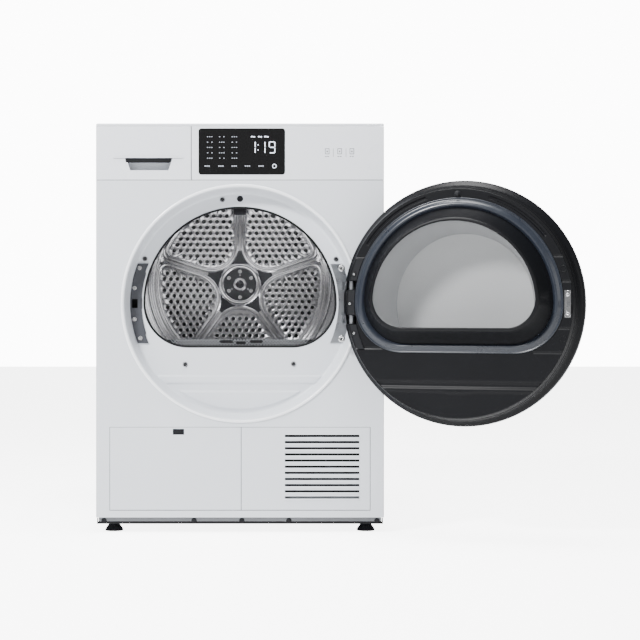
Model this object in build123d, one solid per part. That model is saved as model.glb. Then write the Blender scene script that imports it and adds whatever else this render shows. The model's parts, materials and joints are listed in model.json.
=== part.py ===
from build123d import *
from math import atan2, cos, degrees, hypot, radians, sin, sqrt
import os

# A front-loading heat-pump clothes dryer, front facing -Y, standing on z = 0, all sizes in mm.

# Cabinet
WIDTH = 595.0
HEIGHT = 845.0
DEPTH = 600.0
SHEET = 1.0            # painted sheet steel
WALL = 2.5             # moulded plastic
SHUT = 0.8             # shut line between neighbouring panels
FIT = 0.05             # radial running fit on a pin
FREE = 0.35            # smallest gap between two pieces that move past each other
FOOT_H = 17.6
KICK_TOP = 31.0
BAND_Z = 727.2         # seam under the control band
WORKTOP = 21.0
LIP_H = 5.2            # visible front edge of the worktop
DRAWER_SEAM_X = -100.4

# Door opening and recess
DOOR_Z = 473.0
RING_R = 241.0
RECESS_DEPTH = 38.0
OPEN_R, OPEN_CHORD, OPEN_CORNER = 200.7, 91.3, 92.0
DOOR_R = 248.0
DOOR_THICK = 69.0
DOOR_ANGLE = 161.0
HINGE_X = 231.0
HINGE_OUT = 20.0       # hinge axis in front of the cabinet face
PLUG_H = 44.0
PLUG_R, PLUG_CHORD = 192.0, 82.0
GLASS_R, GLASS_CHORD, GLASS_CORNER = 168.0, 51.0, 62.0
LIP_R, LIP_CHORD = 211.7, 98.6
ARM_Z = (440.0, 510.0)
ARM_H = 17.0

# Drum and drive
DRUM_R = 265.0
DRUM_Z = 515.0
DRUM_Y0, DRUM_Y1 = -212.0, 178.0
BEAD_R = 221.5
PETAL_R = 194.0
HUB_R = 51.0
SHAFT_R = 12.0
HOLE_R, HOLE_PITCH = 4.3, 16.0
ROLLER_R, ROLLER_X = 28.0, 160.0
BELT_Y, BELT_W, BELT_T = -62.0, 12.0, 2.5
MOTOR_X, MOTOR_Z, MOTOR_R = 105.0, 112.0, 50.0
PULLEY_R = 12.0
IDLER_R = 15.0
FAN_R = 75.0

# Water drawer
TANK_LEN = 420.0
SCOOP = (-234.8, -139.8, 748.0, 771.8)

# Lint filter
FILTER_X = 151.5
FILTER_TOP = 397.0
FILTER_T = 21.3

# Lower panels
LOW_X, LOW_Z0, LOW_Z1 = 269.5, 45.2, 217.8
LOW_SPLIT = 2.7
SLOTS, SLOT_PITCH, SLOT_H = 11, 12.7, 4.8
FOOT_X, FOOT_Y = 262.0, 262.0

# Derived planes
FRONT = -DEPTH / 2
BACK = DEPTH / 2
SIDE = WIDTH / 2
FLOOR_Y = FRONT + RECESS_DEPTH
FACE_Y = FLOOR_Y - 8.0              # inner flat face of the closed door
OUTER_Y = FACE_Y - DOOR_THICK
HINGE_Y = FRONT - HINGE_OUT
TOP_IN = HEIGHT - WORKTOP
PLATE_Y0, PLATE_Y1 = FLOOR_Y + 4.0, FLOOR_Y + 8.0
REAR_Y = DRUM_Y1 + 12.0


def block(x0, x1, y0, y1, z0, z1):
    return Pos((x0 + x1) / 2, (y0 + y1) / 2, (z0 + z1) / 2) * Box(x1 - x0, y1 - y0, z1 - z0)


def rod_y(r, y0, y1, x=0.0, z=0.0):
    return Pos(x, (y0 + y1) / 2, z) * Rot(90, 0, 0) * Cylinder(r, y1 - y0)


def rod_z(r, z0, z1, x=0.0, y=0.0):
    return Pos(x, y, (z0 + z1) / 2) * Cylinder(r, z1 - z0)


def ring_y(r_out, r_in, y0, y1, x=0.0, z=0.0):
    return rod_y(r_out, y0, y1, x, z) - rod_y(r_in, y0 - 1, y1 + 1, x, z)


def lathe_y(points, x=0.0, z=0.0):
    """Turned piece about an axis along Y from (radius, y) points."""
    return Pos(x, 0, z) * revolve(make_face(Polyline(*points, close=True)), Axis.Y)


def prism_y(sketch, y0, y1, x=0.0, z=0.0):
    """Front-view outline carried from y1 forward to y0."""
    return Pos(x, y1, z) * extrude(Plane.XZ * sketch, amount=y1 - y0)


def outline(points):
    return make_face(Polyline(*points, close=True))


def d_shape(r, chord, corner):
    """Circle cut off by a level chord below its centre, corners rounded."""
    cut = Circle(r) & (Pos(0, r - chord) * Rectangle(2 * r + 4, 2 * r))
    return fillet(cut.vertices(), corner)


def d_loft(y0, a, y1, b):
    ends = [Pos(0, y, 0) * (Plane.XZ * d_shape(*d)) for y, d in ((y0, a), (y1, b))]
    return Pos(0, 0, DOOR_Z) * loft(ends, ruled=True)


def sector(r_out, r_in, half, side, y0, y1):
    """Plate following the recess wall on one side of the opening, half = half its height."""
    ring = Circle(r_out) - Circle(r_in)
    band = Pos(side * r_out / 2 + side * r_in / 2, 0) * Rectangle(r_out, 2 * half)
    return prism_y(ring & band, y0, y1, 0, DOOR_Z)


def door_open(shape):
    """Turn a piece modelled with the door shut to where the open door holds it."""
    return Pos(HINGE_X, HINGE_Y, 0) * Rot(0, 0, DOOR_ANGLE) * Pos(-HINGE_X, -HINGE_Y, 0) * shape


def screw_y(x, z, y, r=4.2, head=2.2, length=9.0):
    """Cross-head screw driven along +Y, its seat at y."""
    body = rod_y(r, y - head, y, x, z) + rod_y(r * 0.45, y, y + length, x, z)
    slot = block(x - r * 0.6, x + r * 0.6, y - head - 1, y - head + 0.9, z - 0.6, z + 0.6)
    return body - slot - Pos(x, 0, z) * Rot(0, 90, 0) * Pos(-x, 0, -z) * slot


# ---------------------------------------------------------------- cabinet

def base_frame():
    x, y = SIDE - 5.0, BACK - 12.0
    pan = block(-x, x, -y, y, FOOT_H + 0.4, 72) - block(-x + 4, x - 4, -y + 4, y - 4, 24, 80)
    post = block(0, 20, -43, -31, 24, 86)
    pan += post + rod_y(4.0, -51, -43, 10, 76)
    for sx in (-1, 1):
        for sy in (-1, 1):
            pan += rod_z(13, 24, 50, sx * FOOT_X, sy * FOOT_Y)
            pan -= rod_z(5 + FREE, 0, 46, sx * FOOT_X, sy * FOOT_Y)
    return pan


def foot(sx, sy):
    pad = Cylinder(19, 3) + Pos(0, 0, 6) * Cone(18, 13, 9)
    stud = Pos(0, 0, 26) * Cylinder(5, 34)
    nut = Pos(0, 0, 13.5) * extrude(RegularPolygon(11, 6), 3.4)
    whole = Pos(0, 0, 1.5) * pad + Pos(0, 0, 0.6) * (stud + nut)
    return Pos(sx * FOOT_X, sy * FOOT_Y, 0) * whole


def kick_strip():
    strip = block(-292, 292, FRONT + 3, FRONT + 4.5, 18.2, KICK_TOP - 0.4)
    strip += block(-292, 292, FRONT + 3, FRONT + 11.9, KICK_TOP - 1.9, KICK_TOP - 0.4)
    for x in kick_screw_xs():
        strip -= rod_y(2.2, FRONT, FRONT + 6, x, 24.6)
    return strip


def kick_screw_xs():
    return (-281.0, -95.0, 4.0, 101.0, 283.0)


def side_panel(side):
    x = side * SIDE
    y0, y1 = FRONT + 13, BACK - 1.5
    wall = block(min(x, x - side * SHEET), max(x, x - side * SHEET), y0, y1, KICK_TOP, TOP_IN - 0.5)
    flange_x = (x - side * SHEET, x - side * 14)
    for y in (y0 + 60, BACK - 3.5):
        wall += block(min(flange_x), max(flange_x), y, y + 1, KICK_TOP + 44, 700)
    for i in range(3):
        z = 180 + 190 * i
        wall += block(min(x - side * 1, x - side * 3), max(x - side * 1, x - side * 3), -150, 150, z, z + 12)
    return wall


def back_panel():
    plate = block(-SIDE + 1.2, SIDE - 1.2, BACK - 1.4, BACK - 0.4, KICK_TOP, TOP_IN - 0.5)
    plate -= rod_y(232, BACK - 5, BACK + 5, 0, DRUM_Z)
    plate -= rod_y(9.3, BACK - 5, BACK + 5, -225, 90)
    for i in range(7):
        plate -= block(120, 220, BACK - 5, BACK + 5, 70 + 12 * i, 74 + 12 * i)
    return plate


def rear_duct_cover():
    cover = lathe_y([(0, BACK + 10), (212, BACK + 10), (222, BACK + 0.8), (246, BACK + 0.8),
                     (246, BACK - 0.35), (221, BACK - 0.35), (211, BACK + 8.8), (0, BACK + 8.8)], 0, DRUM_Z)
    for i in range(8):
        a = radians(45 * i + 22.5)
        cover += rod_y(5, BACK + 0.8, BACK + 3.2, 234 * cos(a), DRUM_Z + 234 * sin(a))
    return cover


def top_panel():
    slab = block(-SIDE, SIDE, FRONT + 0.5, BACK + 4, TOP_IN, HEIGHT)
    slab = fillet(slab.edges().filter_by(Axis.Z), 5.0)
    slab = fillet(slab.faces().sort_by(Axis.Z)[-1].edges(), 2.0)
    slab -= block(-SIDE - 1, SIDE + 1, FRONT - 1, FRONT + 30, TOP_IN - 1, HEIGHT - LIP_H)
    return slab - block(-SIDE + 10, SIDE - 10, FRONT + 40, BACK - 8, TOP_IN - 1, HEIGHT - 4)


def front_panel():
    z0, z1 = KICK_TOP, BAND_Z
    shell = block(-SIDE, SIDE, FRONT, FRONT + 12, z0, z1)
    shell = fillet(shell.faces().sort_by(Axis.Y)[0].edges().filter_by(Axis.Z), 2.5)
    shell -= block(-SIDE + SHEET, SIDE - SHEET, FRONT + SHEET, FRONT + 20, z0 - 1, z1 + 1)
    shell -= rod_y(RING_R + 1.0, FRONT - 5, FRONT + 5, 0, DOOR_Z)
    return shell - block(-LOW_X, LOW_X, FRONT - 5, FRONT + 5, LOW_Z0, LOW_Z1)


def recess_screw_points():
    return ((-36.6, 689.3), (-198.2, 566.1), (200.3, 565.1), (-114.2, 345.7), (111.5, 346.7))


def latch_screw_points():
    return ((-208.6, 546.5), (-219.5, 505.1), (-219.5, 440.0), (-207.5, 400.5))


def hinge_screw_points():
    return ((211.7, 546.5), (211.7, 402.0))


def door_recess_panel():
    r = RING_R
    f = FLOOR_Y
    dish = lathe_y([(0, f), (r - 10.5, f), (r - 2.4, FRONT + 1), (r - 0.8, FRONT - 2), (r + 4.5, FRONT - 2),
                    (r + 5, FRONT - 0.05), (r + 0.2, FRONT - 0.05), (r - 8.2, f + WALL), (0, f + WALL)], 0, DOOR_Z)
    ridge = Pos(0, 314 - DOOR_Z) * SlotOverall(350, 16)
    dish += prism_y(ridge, f - 3, f + 0.2, 0, DOOR_Z)
    crescent = Circle(r - 19) & (Pos(0, -182 - 60) * Rectangle(400, 120))
    dish += prism_y(crescent, f - 3, f + 0.2, 0, DOOR_Z)
    dish -= prism_y(d_shape(OPEN_R, OPEN_CHORD, OPEN_CORNER), f - 5, f + 5, 0, DOOR_Z)
    dish -= block(-225.2, -213.4, f - 5, f + 5, 463.4, 482.0)
    dish -= rod_y(4.6, f - 5, f + 5, 0, 691)
    for x, z in recess_screw_points():
        dish -= rod_y(2.3, f - 5, f + 5, x, z)
    for x, z in latch_screw_points() + hinge_screw_points():
        dish -= rod_y(2.3, f - 5, f + 5, x, z)
    return dish


def opening_gasket():
    y0, y1 = FLOOR_Y - 0.6, FLOOR_Y + WALL + 1.2
    a = (OPEN_R - 0.1, OPEN_CHORD - 0.1, OPEN_CORNER)
    b = (OPEN_R - 3.2, OPEN_CHORD - 3.2, OPEN_CORNER - 3.1)
    bead = prism_y(d_shape(*a), y0, y1, 0, DOOR_Z)
    return bead - prism_y(d_shape(*b), y0 - 1, y1 + 1, 0, DOOR_Z)


def fixed_screws():
    heads = [screw_y(x, z, FLOOR_Y, 4.4) for x, z in recess_screw_points()]
    heads += [screw_y(x, z, FLOOR_Y - 3.05, 4.4) for x, z in latch_screw_points() + hinge_screw_points()]
    heads += [screw_y(x, 24.6, FRONT + 3, 3.8, 1.6, 4.0) for x in kick_screw_xs()]
    return Compound(children=[h.solid() for h in heads])


def latch_cover():
    y0, y1 = FLOOR_Y - 3, FLOOR_Y - 0.02
    plate = sector(RING_R - 12.5, 207.5, 83, -1, y0, y1)
    plate += prism_y(Pos(-208, 0) * Rectangle(24, 130), y0 + 0.8, y1, 0, DOOR_Z) & sector(228.4, 205, 83, -1, y0, y1)
    plate -= block(-225.2, -213.4, y0 - 5, y1 + 5, 463.4, 482.0)
    for x, z in latch_screw_points():
        plate -= rod_y(2.3, y0 - 5, y1 + 5, x, z)
    return plate


def hinge_bracket():
    y0, y1 = FLOOR_Y - 3, FLOOR_Y - 0.02
    plate = sector(RING_R - 12.5, 205.0, 82, 1, y0, y1)
    for x, z in hinge_screw_points():
        plate -= rod_y(2.3, y0 - 5, y1 + 5, x, z)
    for z in ARM_Z:
        plate += hinge_arm(z)
    return plate


def hinge_arm(z):
    x, y = HINGE_X, HINGE_Y
    side = outline([(x - 20, FLOOR_Y - 1), (x - 7.5, FLOOR_Y - 1), (x - 5.5, y + 34), (x + 7.8, y + 4),
                    (x + 7.8, y - 1), (x - 7.8, y - 1), (x - 7.8, y + 6), (x - 19, y + 30)])
    web = Pos(0, 0, z - ARM_H / 2) * extrude(side, ARM_H)
    web += rod_z(8.0, z - ARM_H / 2, z + ARM_H / 2, x, y)
    return web - rod_z(3.0 + FIT, z - 20, z + 20, x, y)


def control_fascia():
    x0, x1 = DRAWER_SEAM_X + 0.5, SIDE
    z0, z1 = BAND_Z + SHUT, HEIGHT - LIP_H - SHUT
    shell = block(x0, x1, FRONT, FRONT + 12, z0, z1)
    shell = fillet(shell.faces().sort_by(Axis.Y)[0].edges(), 1.5)
    shell -= block(x0 + 3, x1 - 2, FRONT + 3, FRONT + 20, z0 + 3, z1 - 3)
    shell += block(x0 + 20, x1 - 20, FRONT + 3, FRONT + 24, z0 + 4, z0 + 8)
    return shell - prism_y(display_outline(0), FRONT - 2, FRONT + 1.6)


def display_outline(grow):
    return Pos(3.7, 786.7) * RectangleRounded(178.8 + 2 * grow, 95.8 + 2 * grow, 6 + grow)


def display_window():
    return prism_y(display_outline(-0.15), FRONT - 0.3, FRONT + 1.5)


def drum_front_support():
    """Bulkhead behind the front with the mouth of the drum, filter pocket and roller pins."""
    y0, y1 = PLATE_Y0, PLATE_Y1
    plate = block(-282, 282, y0, y1, 225, BAND_Z - 3)
    ring_in = DRUM_R - 27
    plate += rod_y(ring_in + 5, y1 - 1, DRUM_Y0 - 4, 0, DRUM_Z) + ring_y(DRUM_R - 2, ring_in, y1 - 1,
                                                                        DRUM_Y0 - 10.05, 0, DRUM_Z)
    plate -= rod_y(ring_in, y1, DRUM_Y0, 0, DRUM_Z)
    plate += block(-156, 156, y1 - 1, y1 + 26.4, 173, DOOR_Z - OPEN_CHORD - 2)
    plate -= block(-152, 152, y1 + 0.2, y1 + 24.4, 170, FILTER_TOP + 20)
    plate -= prism_y(d_shape(OPEN_R + 2, OPEN_CHORD + 2, OPEN_CORNER), y0 - 5, y1 + 0.5, 0, DOOR_Z)
    plate -= block(-156, 156, y1 + 24.4, DRUM_Y0, 330, DOOR_Z)
    plate -= block(-232, -206, y0 - 5, y1 + 5, 453, 493)
    plate -= rod_y(8, y0 - 5, y1 + 5, 0, 691) + rod_y(8, DRUM_Y0 - 60, DRUM_Y0, 0, 691)
    for side in (-1, 1):
        plate += rod_y(6.0, y1 - 1, DRUM_Y0 + 27, side * ROLLER_X, roller_z())
    for x, z in recess_screw_points() + latch_screw_points() + hinge_screw_points():
        plate -= rod_y(3.4, y0 - 5, y1 + 5, x, z)
    return plate


def roller_z():
    return DRUM_Z - sqrt((DRUM_R + ROLLER_R + FREE) ** 2 - ROLLER_X ** 2)


def front_roller(side):
    wheel = rod_y(ROLLER_R, DRUM_Y0 + 7, DRUM_Y0 + 25, side * ROLLER_X, roller_z())
    groove = ring_y(21, 11, DRUM_Y0 + 6, DRUM_Y0 + 10, side * ROLLER_X, roller_z())
    return wheel - groove - rod_y(6.0 + FIT, DRUM_Y0, DRUM_Y0 + 40, side * ROLLER_X, roller_z())


def drum_seals():
    front = ring_y(DRUM_R - 3, DRUM_R - 19, DRUM_Y0 - 10, DRUM_Y0 - FREE, 0, DRUM_Z)
    rear = ring_y(DRUM_R - 4, DRUM_R - 18, DRUM_Y1 + FREE, REAR_Y, 0, DRUM_Z)
    return Compound(children=[front.solid(), rear.solid()])


def rear_bearing_housing():
    """Dish behind the drum that leads the warm air in and carries the shaft bush."""
    y0, y1 = REAR_Y, BACK - 1.45
    dish = ring_y(DRUM_R - 4, DRUM_R - 7, y0, y1, 0, DRUM_Z) + ring_y(DRUM_R - 4, DRUM_R - 30, y0, y0 + 3, 0, DRUM_Z)
    dish += ring_y(60, SHAFT_R + 6, y0 + 8, y0 + 12, 0, DRUM_Z)
    dish += ring_y(SHAFT_R + 10, SHAFT_R + FIT, y0 + 4, y0 + 46, 0, DRUM_Z)
    for i in range(6):
        arm = block(20, DRUM_R - 6, y0 + 8, y0 + 14, -9, 9)
        dish += Pos(0, 0, DRUM_Z) * Rot(0, 60 * i + 30, 0) * arm
    return dish - block(MOTOR_X - 40, MOTOR_X + 40, y0 + 10, BACK - 30, DRUM_Z - DRUM_R, DRUM_Z - 200)


# ---------------------------------------------------------------- drum

def drum_shell():
    y0, y1 = DRUM_Y0, DRUM_Y1
    return lathe_y([(DRUM_R - 14, y0 + 0.5), (DRUM_R - 12, y0), (DRUM_R - 2, y0), (DRUM_R, y0 + 2), (DRUM_R, y1 - 1),
                    (DRUM_R - 2, y1), (DRUM_R - 6, y1), (DRUM_R - 6, y1 - 1), (DRUM_R - 1, y1 - 1.2),
                    (DRUM_R - 1, y0 + 2.5), (DRUM_R - 3, y0 + 1.2), (DRUM_R - 14, y0 + 1.6)], 0, DRUM_Z)


def petal_holes():
    """Centres of the air holes: a triangular grid kept inside five petals."""
    points = []
    rows = int(PETAL_R / (HOLE_PITCH * 0.866)) + 1
    for j in range(-rows, rows + 1):
        for i in range(-rows - 2, rows + 3):
            x = (i + 0.5 * (j % 2)) * HOLE_PITCH
            z = j * HOLE_PITCH * 0.866
            r = hypot(x, z)
            turn = (degrees(atan2(z, x)) - 90) % 72
            away = r * sin(radians(min(turn, 72 - turn)))
            if 72 < r < PETAL_R - 9 and away > 25:
                points.append((x, z))
    return points


def drum_rear_wall():
    r = DRUM_R - 1.02
    holes = [Wire.make_circle(HOLE_R, Plane((x, z, 0))) for x, z in petal_holes()]
    holes.append(Wire.make_circle(SHAFT_R - 2))
    plate = extrude(Plane.XZ * Face(Wire.make_circle(r), holes), amount=1.2)
    plate = Pos(0, DRUM_Y1 - 1.4, DRUM_Z) * plate
    bead = lathe_y([(BEAD_R - 5, DRUM_Y1 - 2.6), (BEAD_R - 3, DRUM_Y1 - 8), (BEAD_R + 3, DRUM_Y1 - 8),
                    (BEAD_R + 5, DRUM_Y1 - 2.6)], 0, DRUM_Z)
    plate += bead
    for i in range(5):
        rib = block(HUB_R + 6, PETAL_R + 6, DRUM_Y1 - 8, DRUM_Y1 - 2.5, -11, 11)
        plate += Pos(0, 0, DRUM_Z) * Rot(0, -90 - 72 * i, 0) * rib
    return plate


def drum_hub():
    y = DRUM_Y1 - 2.65
    hub = lathe_y([(0, y - 15), (10, y - 15), (16, y - 12), (16, y - 8), (38, y - 8), (40, y - 13),
                   (HUB_R - 2, y - 12), (HUB_R + 2, y - 3), (HUB_R + 2, y), (0, y)], 0, DRUM_Z)
    hub += rod_y(SHAFT_R - 2.1, y - 1, DRUM_Y1, 0, DRUM_Z)
    hub += rod_y(SHAFT_R, DRUM_Y1 - 1.3, REAR_Y + 44, 0, DRUM_Z)
    for x, z in hub_screw_points():
        hub -= rod_y(2.1, y - 20, y - 1, x, z)
    return hub


def hub_screw_points():
    spots = [(29.5 * cos(radians(60 * i + 30)), 29.5 * sin(radians(60 * i + 30))) for i in range(6)]
    return [(x, DRUM_Z + z) for x, z in spots]


def hub_screws():
    y = DRUM_Y1 - 2.65 - 8
    return Compound(children=[screw_y(x, z, y, 4.4, 2.4, 6.0).solid() for x, z in hub_screw_points()])


def drum_lifters():
    inner = DRUM_R - 1.05
    fins = []
    for i in range(3):
        side = outline([(-34, 0), (-12, -34), (-6, -38), (6, -38), (12, -34), (34, 0), (20, 20), (-20, 20)])
        fin = Pos(0, DRUM_Y1 - 60, inner) * extrude(Plane.XZ * side, amount=290)
        fin = fin & rod_y(inner, DRUM_Y0, DRUM_Y1)
        fins.append((Pos(0, 0, DRUM_Z) * Rot(0, 120 * i + 60, 0) * fin).solid())
    return Compound(children=fins)


# ---------------------------------------------------------------- drive

def belt_loop(r_drum, r_pulley):
    """Open belt line round the drum and the motor pulley, front view about the drum axis."""
    dx, dz = MOTOR_X, MOTOR_Z - DRUM_Z
    gap = hypot(dx, dz)
    base = atan2(dz, dx)
    lean = atan2(sqrt(gap ** 2 - (r_drum - r_pulley) ** 2), r_drum - r_pulley)
    ends = []
    for sign in (1, -1):
        a = base + sign * lean
        ends.append((cos(a), sin(a)))
    (ax, az), (bx, bz) = ends
    band = make_face(Polyline((ax * r_drum, az * r_drum), (dx + ax * r_pulley, dz + az * r_pulley),
                              (dx + bx * r_pulley, dz + bz * r_pulley), (bx * r_drum, bz * r_drum), close=True))
    return Circle(r_drum) + band + Pos(dx, dz) * Circle(r_pulley)


def drum_belt():
    inner, outer = FREE, FREE + BELT_T
    loop = belt_loop(DRUM_R + outer, PULLEY_R + outer) - belt_loop(DRUM_R + inner, PULLEY_R + inner)
    return prism_y(loop, BELT_Y - BELT_W / 2, BELT_Y + BELT_W / 2, 0, DRUM_Z)


def motor_body():
    x, z = MOTOR_X, MOTOR_Z
    can = rod_y(MOTOR_R, -30, 80, x, z) + ring_y(MOTOR_R + 3, MOTOR_R - 2, -12, -6, x, z)
    can += ring_y(MOTOR_R + 3, MOTOR_R - 2, 56, 62, x, z)
    can += block(x - 42, x + 42, -12, 62, 24, z - 36)
    can += rod_y(18, -38, 88, x, z)
    return can - rod_y(7 + FIT, -60, 120, x, z)


def motor_rotor():
    x, z = MOTOR_X, MOTOR_Z
    shaft = rod_y(7, -74, 178, x, z)
    pulley = rod_y(PULLEY_R, BELT_Y - 9, BELT_Y + 9, x, z)
    rims = ring_y(PULLEY_R + 5, 6, BELT_Y - 12, BELT_Y - 7.5, x, z) + ring_y(PULLEY_R + 5, 6, BELT_Y + 7.5,
                                                                            BELT_Y + 12, x, z)
    return shaft + pulley + rims


def blower_wheel():
    x, z = MOTOR_X, MOTOR_Z
    wheel = rod_y(FAN_R, 172, 175, x, z) + ring_y(FAN_R, FAN_R - 16, 128, 131, x, z)
    wheel += rod_y(13, 150, 176, x, z)
    for i in range(20):
        blade = Rot(0, 18 * i, 0) * Pos(FAN_R - 9, 0, 0) * Rot(0, 35, 0) * block(-8, 8, 130, 173, -1, 1)
        wheel += Pos(x, 0, z) * blade
    return wheel - rod_y(7.02, 100, 200, x, z)


def blower_housing():
    x, z, r = MOTOR_X, MOTOR_Z, FAN_R + 6
    scroll = rod_y(r + WALL, 120, 184, x, z) + block(x - r - WALL, x - 6, 120, 184, z, 244)
    scroll += block(x - 50, x + 50, 130, 176, 24, z - r + 20)
    room = rod_y(r, 120 + WALL, 184 - WALL, x, z)
    room += block(x - r, x - 6 - WALL, 120 + WALL, 184 - WALL, z, 244 - WALL)
    scroll -= room
    scroll -= rod_y(FAN_R - 18, 110, 125, x, z)
    scroll -= block(x - r + 4, x - 12, 175, 190, 196, 238)
    return scroll


def idler_centre():
    """Just outside the slack run of the belt, a quarter of the way up from the motor pulley."""
    gap = hypot(MOTOR_X, MOTOR_Z - DRUM_Z)
    base = atan2(MOTOR_Z - DRUM_Z, MOTOR_X)
    a = base - atan2(sqrt(gap ** 2 - (DRUM_R - PULLEY_R) ** 2), DRUM_R - PULLEY_R)
    nx, nz = cos(a), sin(a)
    run = 95.0
    off = PULLEY_R + FREE + BELT_T + IDLER_R + 0.5
    tx, tz = -nz, nx
    if tz < 0:
        tx, tz = -tx, -tz
    return MOTOR_X + nx * off + tx * run, MOTOR_Z + nz * off + tz * run


def idler_arm():
    cx, cz = idler_centre()
    px, pz = 10.0, 76.0
    length = hypot(cx - px, cz - pz)
    bar = block(0, length, -49.5, -44, -7, 7)
    arm = Pos(px, 0, pz) * Rot(0, -degrees(atan2(cz - pz, cx - px)), 0) * bar
    arm += rod_y(9, -49.5, -44, px, pz) + rod_y(9, -49.5, -44, cx, cz)
    arm += rod_y(4, -74, -49, cx, cz)
    return arm - rod_y(4 + FIT, -60, -40, px, pz)


def idler_pulley():
    cx, cz = idler_centre()
    wheel = rod_y(IDLER_R, BELT_Y - 8, BELT_Y + 8, cx, cz)
    return wheel - rod_y(4 + FIT, -80, -40, cx, cz)


# ---------------------------------------------------------------- heat pump

def finned_block(x0, x1, y0, y1, z0, z1):
    core = block(x0, x1, y0, y1, z0, z1)
    count = 13
    pitch = (x1 - x0 - 8) / count
    for i in range(count):
        a = x0 + 6 + i * pitch
        core -= block(a, a + pitch * 0.55, y0 - 1, y1 + 1, z0 + 5, z1 - 5)
    for i in range(3):
        y = y0 + (y1 - y0) * (i + 0.5) / 3
        for z in (z0 + (z1 - z0) * 0.33, z0 + (z1 - z0) * 0.67):
            core += Pos((x0 + x1) / 2, y, z) * Rot(0, 90, 0) * Cylinder(4.5, x1 - x0 + 6)
    return core


def heat_exchanger_housing():
    x0, x1, y0, y1, z0, z1 = -262.0, -42.0, -246.0, 34.0, 36.0, 172.0
    shell = block(x0, x1, y0, y1, z0, z1) - block(x0 + WALL, x1 - WALL, y0 - 1, y1 + 1, z0 + WALL, z1 - WALL)
    shell -= block(-150, x1 - 8, y0 + 4, y0 + 18, z1 - 5, z1 + 5)
    shell += block(x0 + 1, x1 - 1, -118, -113, z0 + 1, z0 + 9)
    for i in range(4):
        a = x0 + 30 + i * 50
        shell += block(a, a + 4, y0 + 10, y1 - 10, 24, z0 + 1)
    return shell


def compressor():
    x, y = 168.0, -158.0
    can = rod_z(58, 52, 178, x, y) + Pos(x, y, 178) * scale_z_dome(58, 20)
    can += rod_z(66, 110, 114, x, y)
    can -= rod_z(54, 148, 174, x, y) + rod_z(54, 56, 66, x, y)
    for i in range(3):
        a = radians(120 * i + 90)
        can += block(-9, 9, -9, 9, 24, 56).moved(Location((x + 50 * cos(a), y + 50 * sin(a), 0)))
    return can


def scale_z_dome(r, h):
    """Low dome of base radius r and height h."""
    big = (r ** 2 + h ** 2) / (2 * h)
    return (Pos(0, 0, h - big) * Sphere(big)) & (Pos(0, 0, h) * Box(3 * r, 3 * r, 2 * h + 0.2))


# ---------------------------------------------------------------- water drawer

def tank_profile(grow, top):
    g = grow
    return outline([(-290 - g, 738.5 - g), (-168 + 0.6 * g, 738.5 - g), (-108 + g, 773 - 0.6 * g),
                    (-108 + g, top), (-290 - g, top)])


def tank_guide():
    y0, y1 = FRONT + 36, FRONT + 44 + TANK_LEN
    trough = prism_y(tank_profile(4.4, 820), y0, y1) - prism_y(tank_profile(1.4, 830), y0 - 1, y1 - 3)
    return trough


def tank_body():
    y0 = FRONT + 30
    body = prism_y(tank_profile(0, 816), y0, y0 + TANK_LEN)
    return body - prism_y(tank_profile(-WALL, 830), y0 + WALL, y0 + TANK_LEN - WALL)


def tank_lid():
    y0 = FRONT + 30
    lid = block(-290, -108, y0, y0 + TANK_LEN, 816.05, 818.5)
    lid += ring_z(19, 16, 818, 821, -199, y0 + TANK_LEN - 60)
    return lid - rod_z(16, 800, 830, -199, y0 + TANK_LEN - 60)


def ring_z(r_out, r_in, z0, z1, x=0.0, y=0.0):
    return rod_z(r_out, z0, z1, x, y) - rod_z(r_in, z0 - 1, z1 + 1, x, y)


def drawer_front():
    x0, x1 = -SIDE, DRAWER_SEAM_X - 0.5
    z0, z1 = BAND_Z + SHUT, HEIGHT - LIP_H - SHUT
    front = block(x0, x1, FRONT, FRONT + 12, z0, z1)
    front = fillet(front.faces().sort_by(Axis.Y)[0].edges(), 1.5)
    front -= block(x0 + 3, x1 - 3, FRONT + 3, FRONT + 20, z0 + 3, z1 - 3)
    front += block(-284, -114, FRONT + 2, FRONT + 29.95, 745, 812)
    a, b, c, d = SCOOP
    sides = [(a + 8, c), (b - 8, c), (b, d), (b, d + 2), (a, d + 2), (a, d)]
    front -= prism_y(outline(sides), FRONT - 3, FRONT + 22)
    front += block(-262, -118, FRONT - 2.2, FRONT + 1, d + 1.6, d + 4.6)
    return front


# ---------------------------------------------------------------- lint filter

def lint_filter_frame():
    y0 = PLATE_Y1 + 0.6
    y1 = y0 + FILTER_T
    frame = block(-FILTER_X, FILTER_X, y0, y1, 262, FILTER_TOP)
    frame -= block(-FILTER_X + 5, FILTER_X - 5, y0 + 3, y1 - 3, 266, FILTER_TOP + 5)
    for i in range(3):
        a = -FILTER_X + 12 + i * 95
        frame -= block(a, a + 86, y0 - 1, y1 + 1, 274, 368)
    frame += block(-16, 16, y0, y1, FILTER_TOP - 10, FILTER_TOP + 2)
    return frame - block(-11, 11, y0 + 4, y1 - 4, FILTER_TOP - 8, FILTER_TOP + 4)


def lint_filter_mesh():
    y0 = PLATE_Y1 + 0.6 + 3.05
    y1 = PLATE_Y1 + 0.6 + FILTER_T - 3.05
    x = FILTER_X - 5.05
    mesh = block(-x, x, y0, y1, 266.05, 380) - block(-x + 0.8, x - 0.8, y0 + 0.8, y1 - 0.8, 266.9, 390)
    return mesh


# ---------------------------------------------------------------- lower panels

FLAP_PIN_IN = 2.8        # flap's hinge line behind the front face
FLAP_PIN_Z = 55.0


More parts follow.
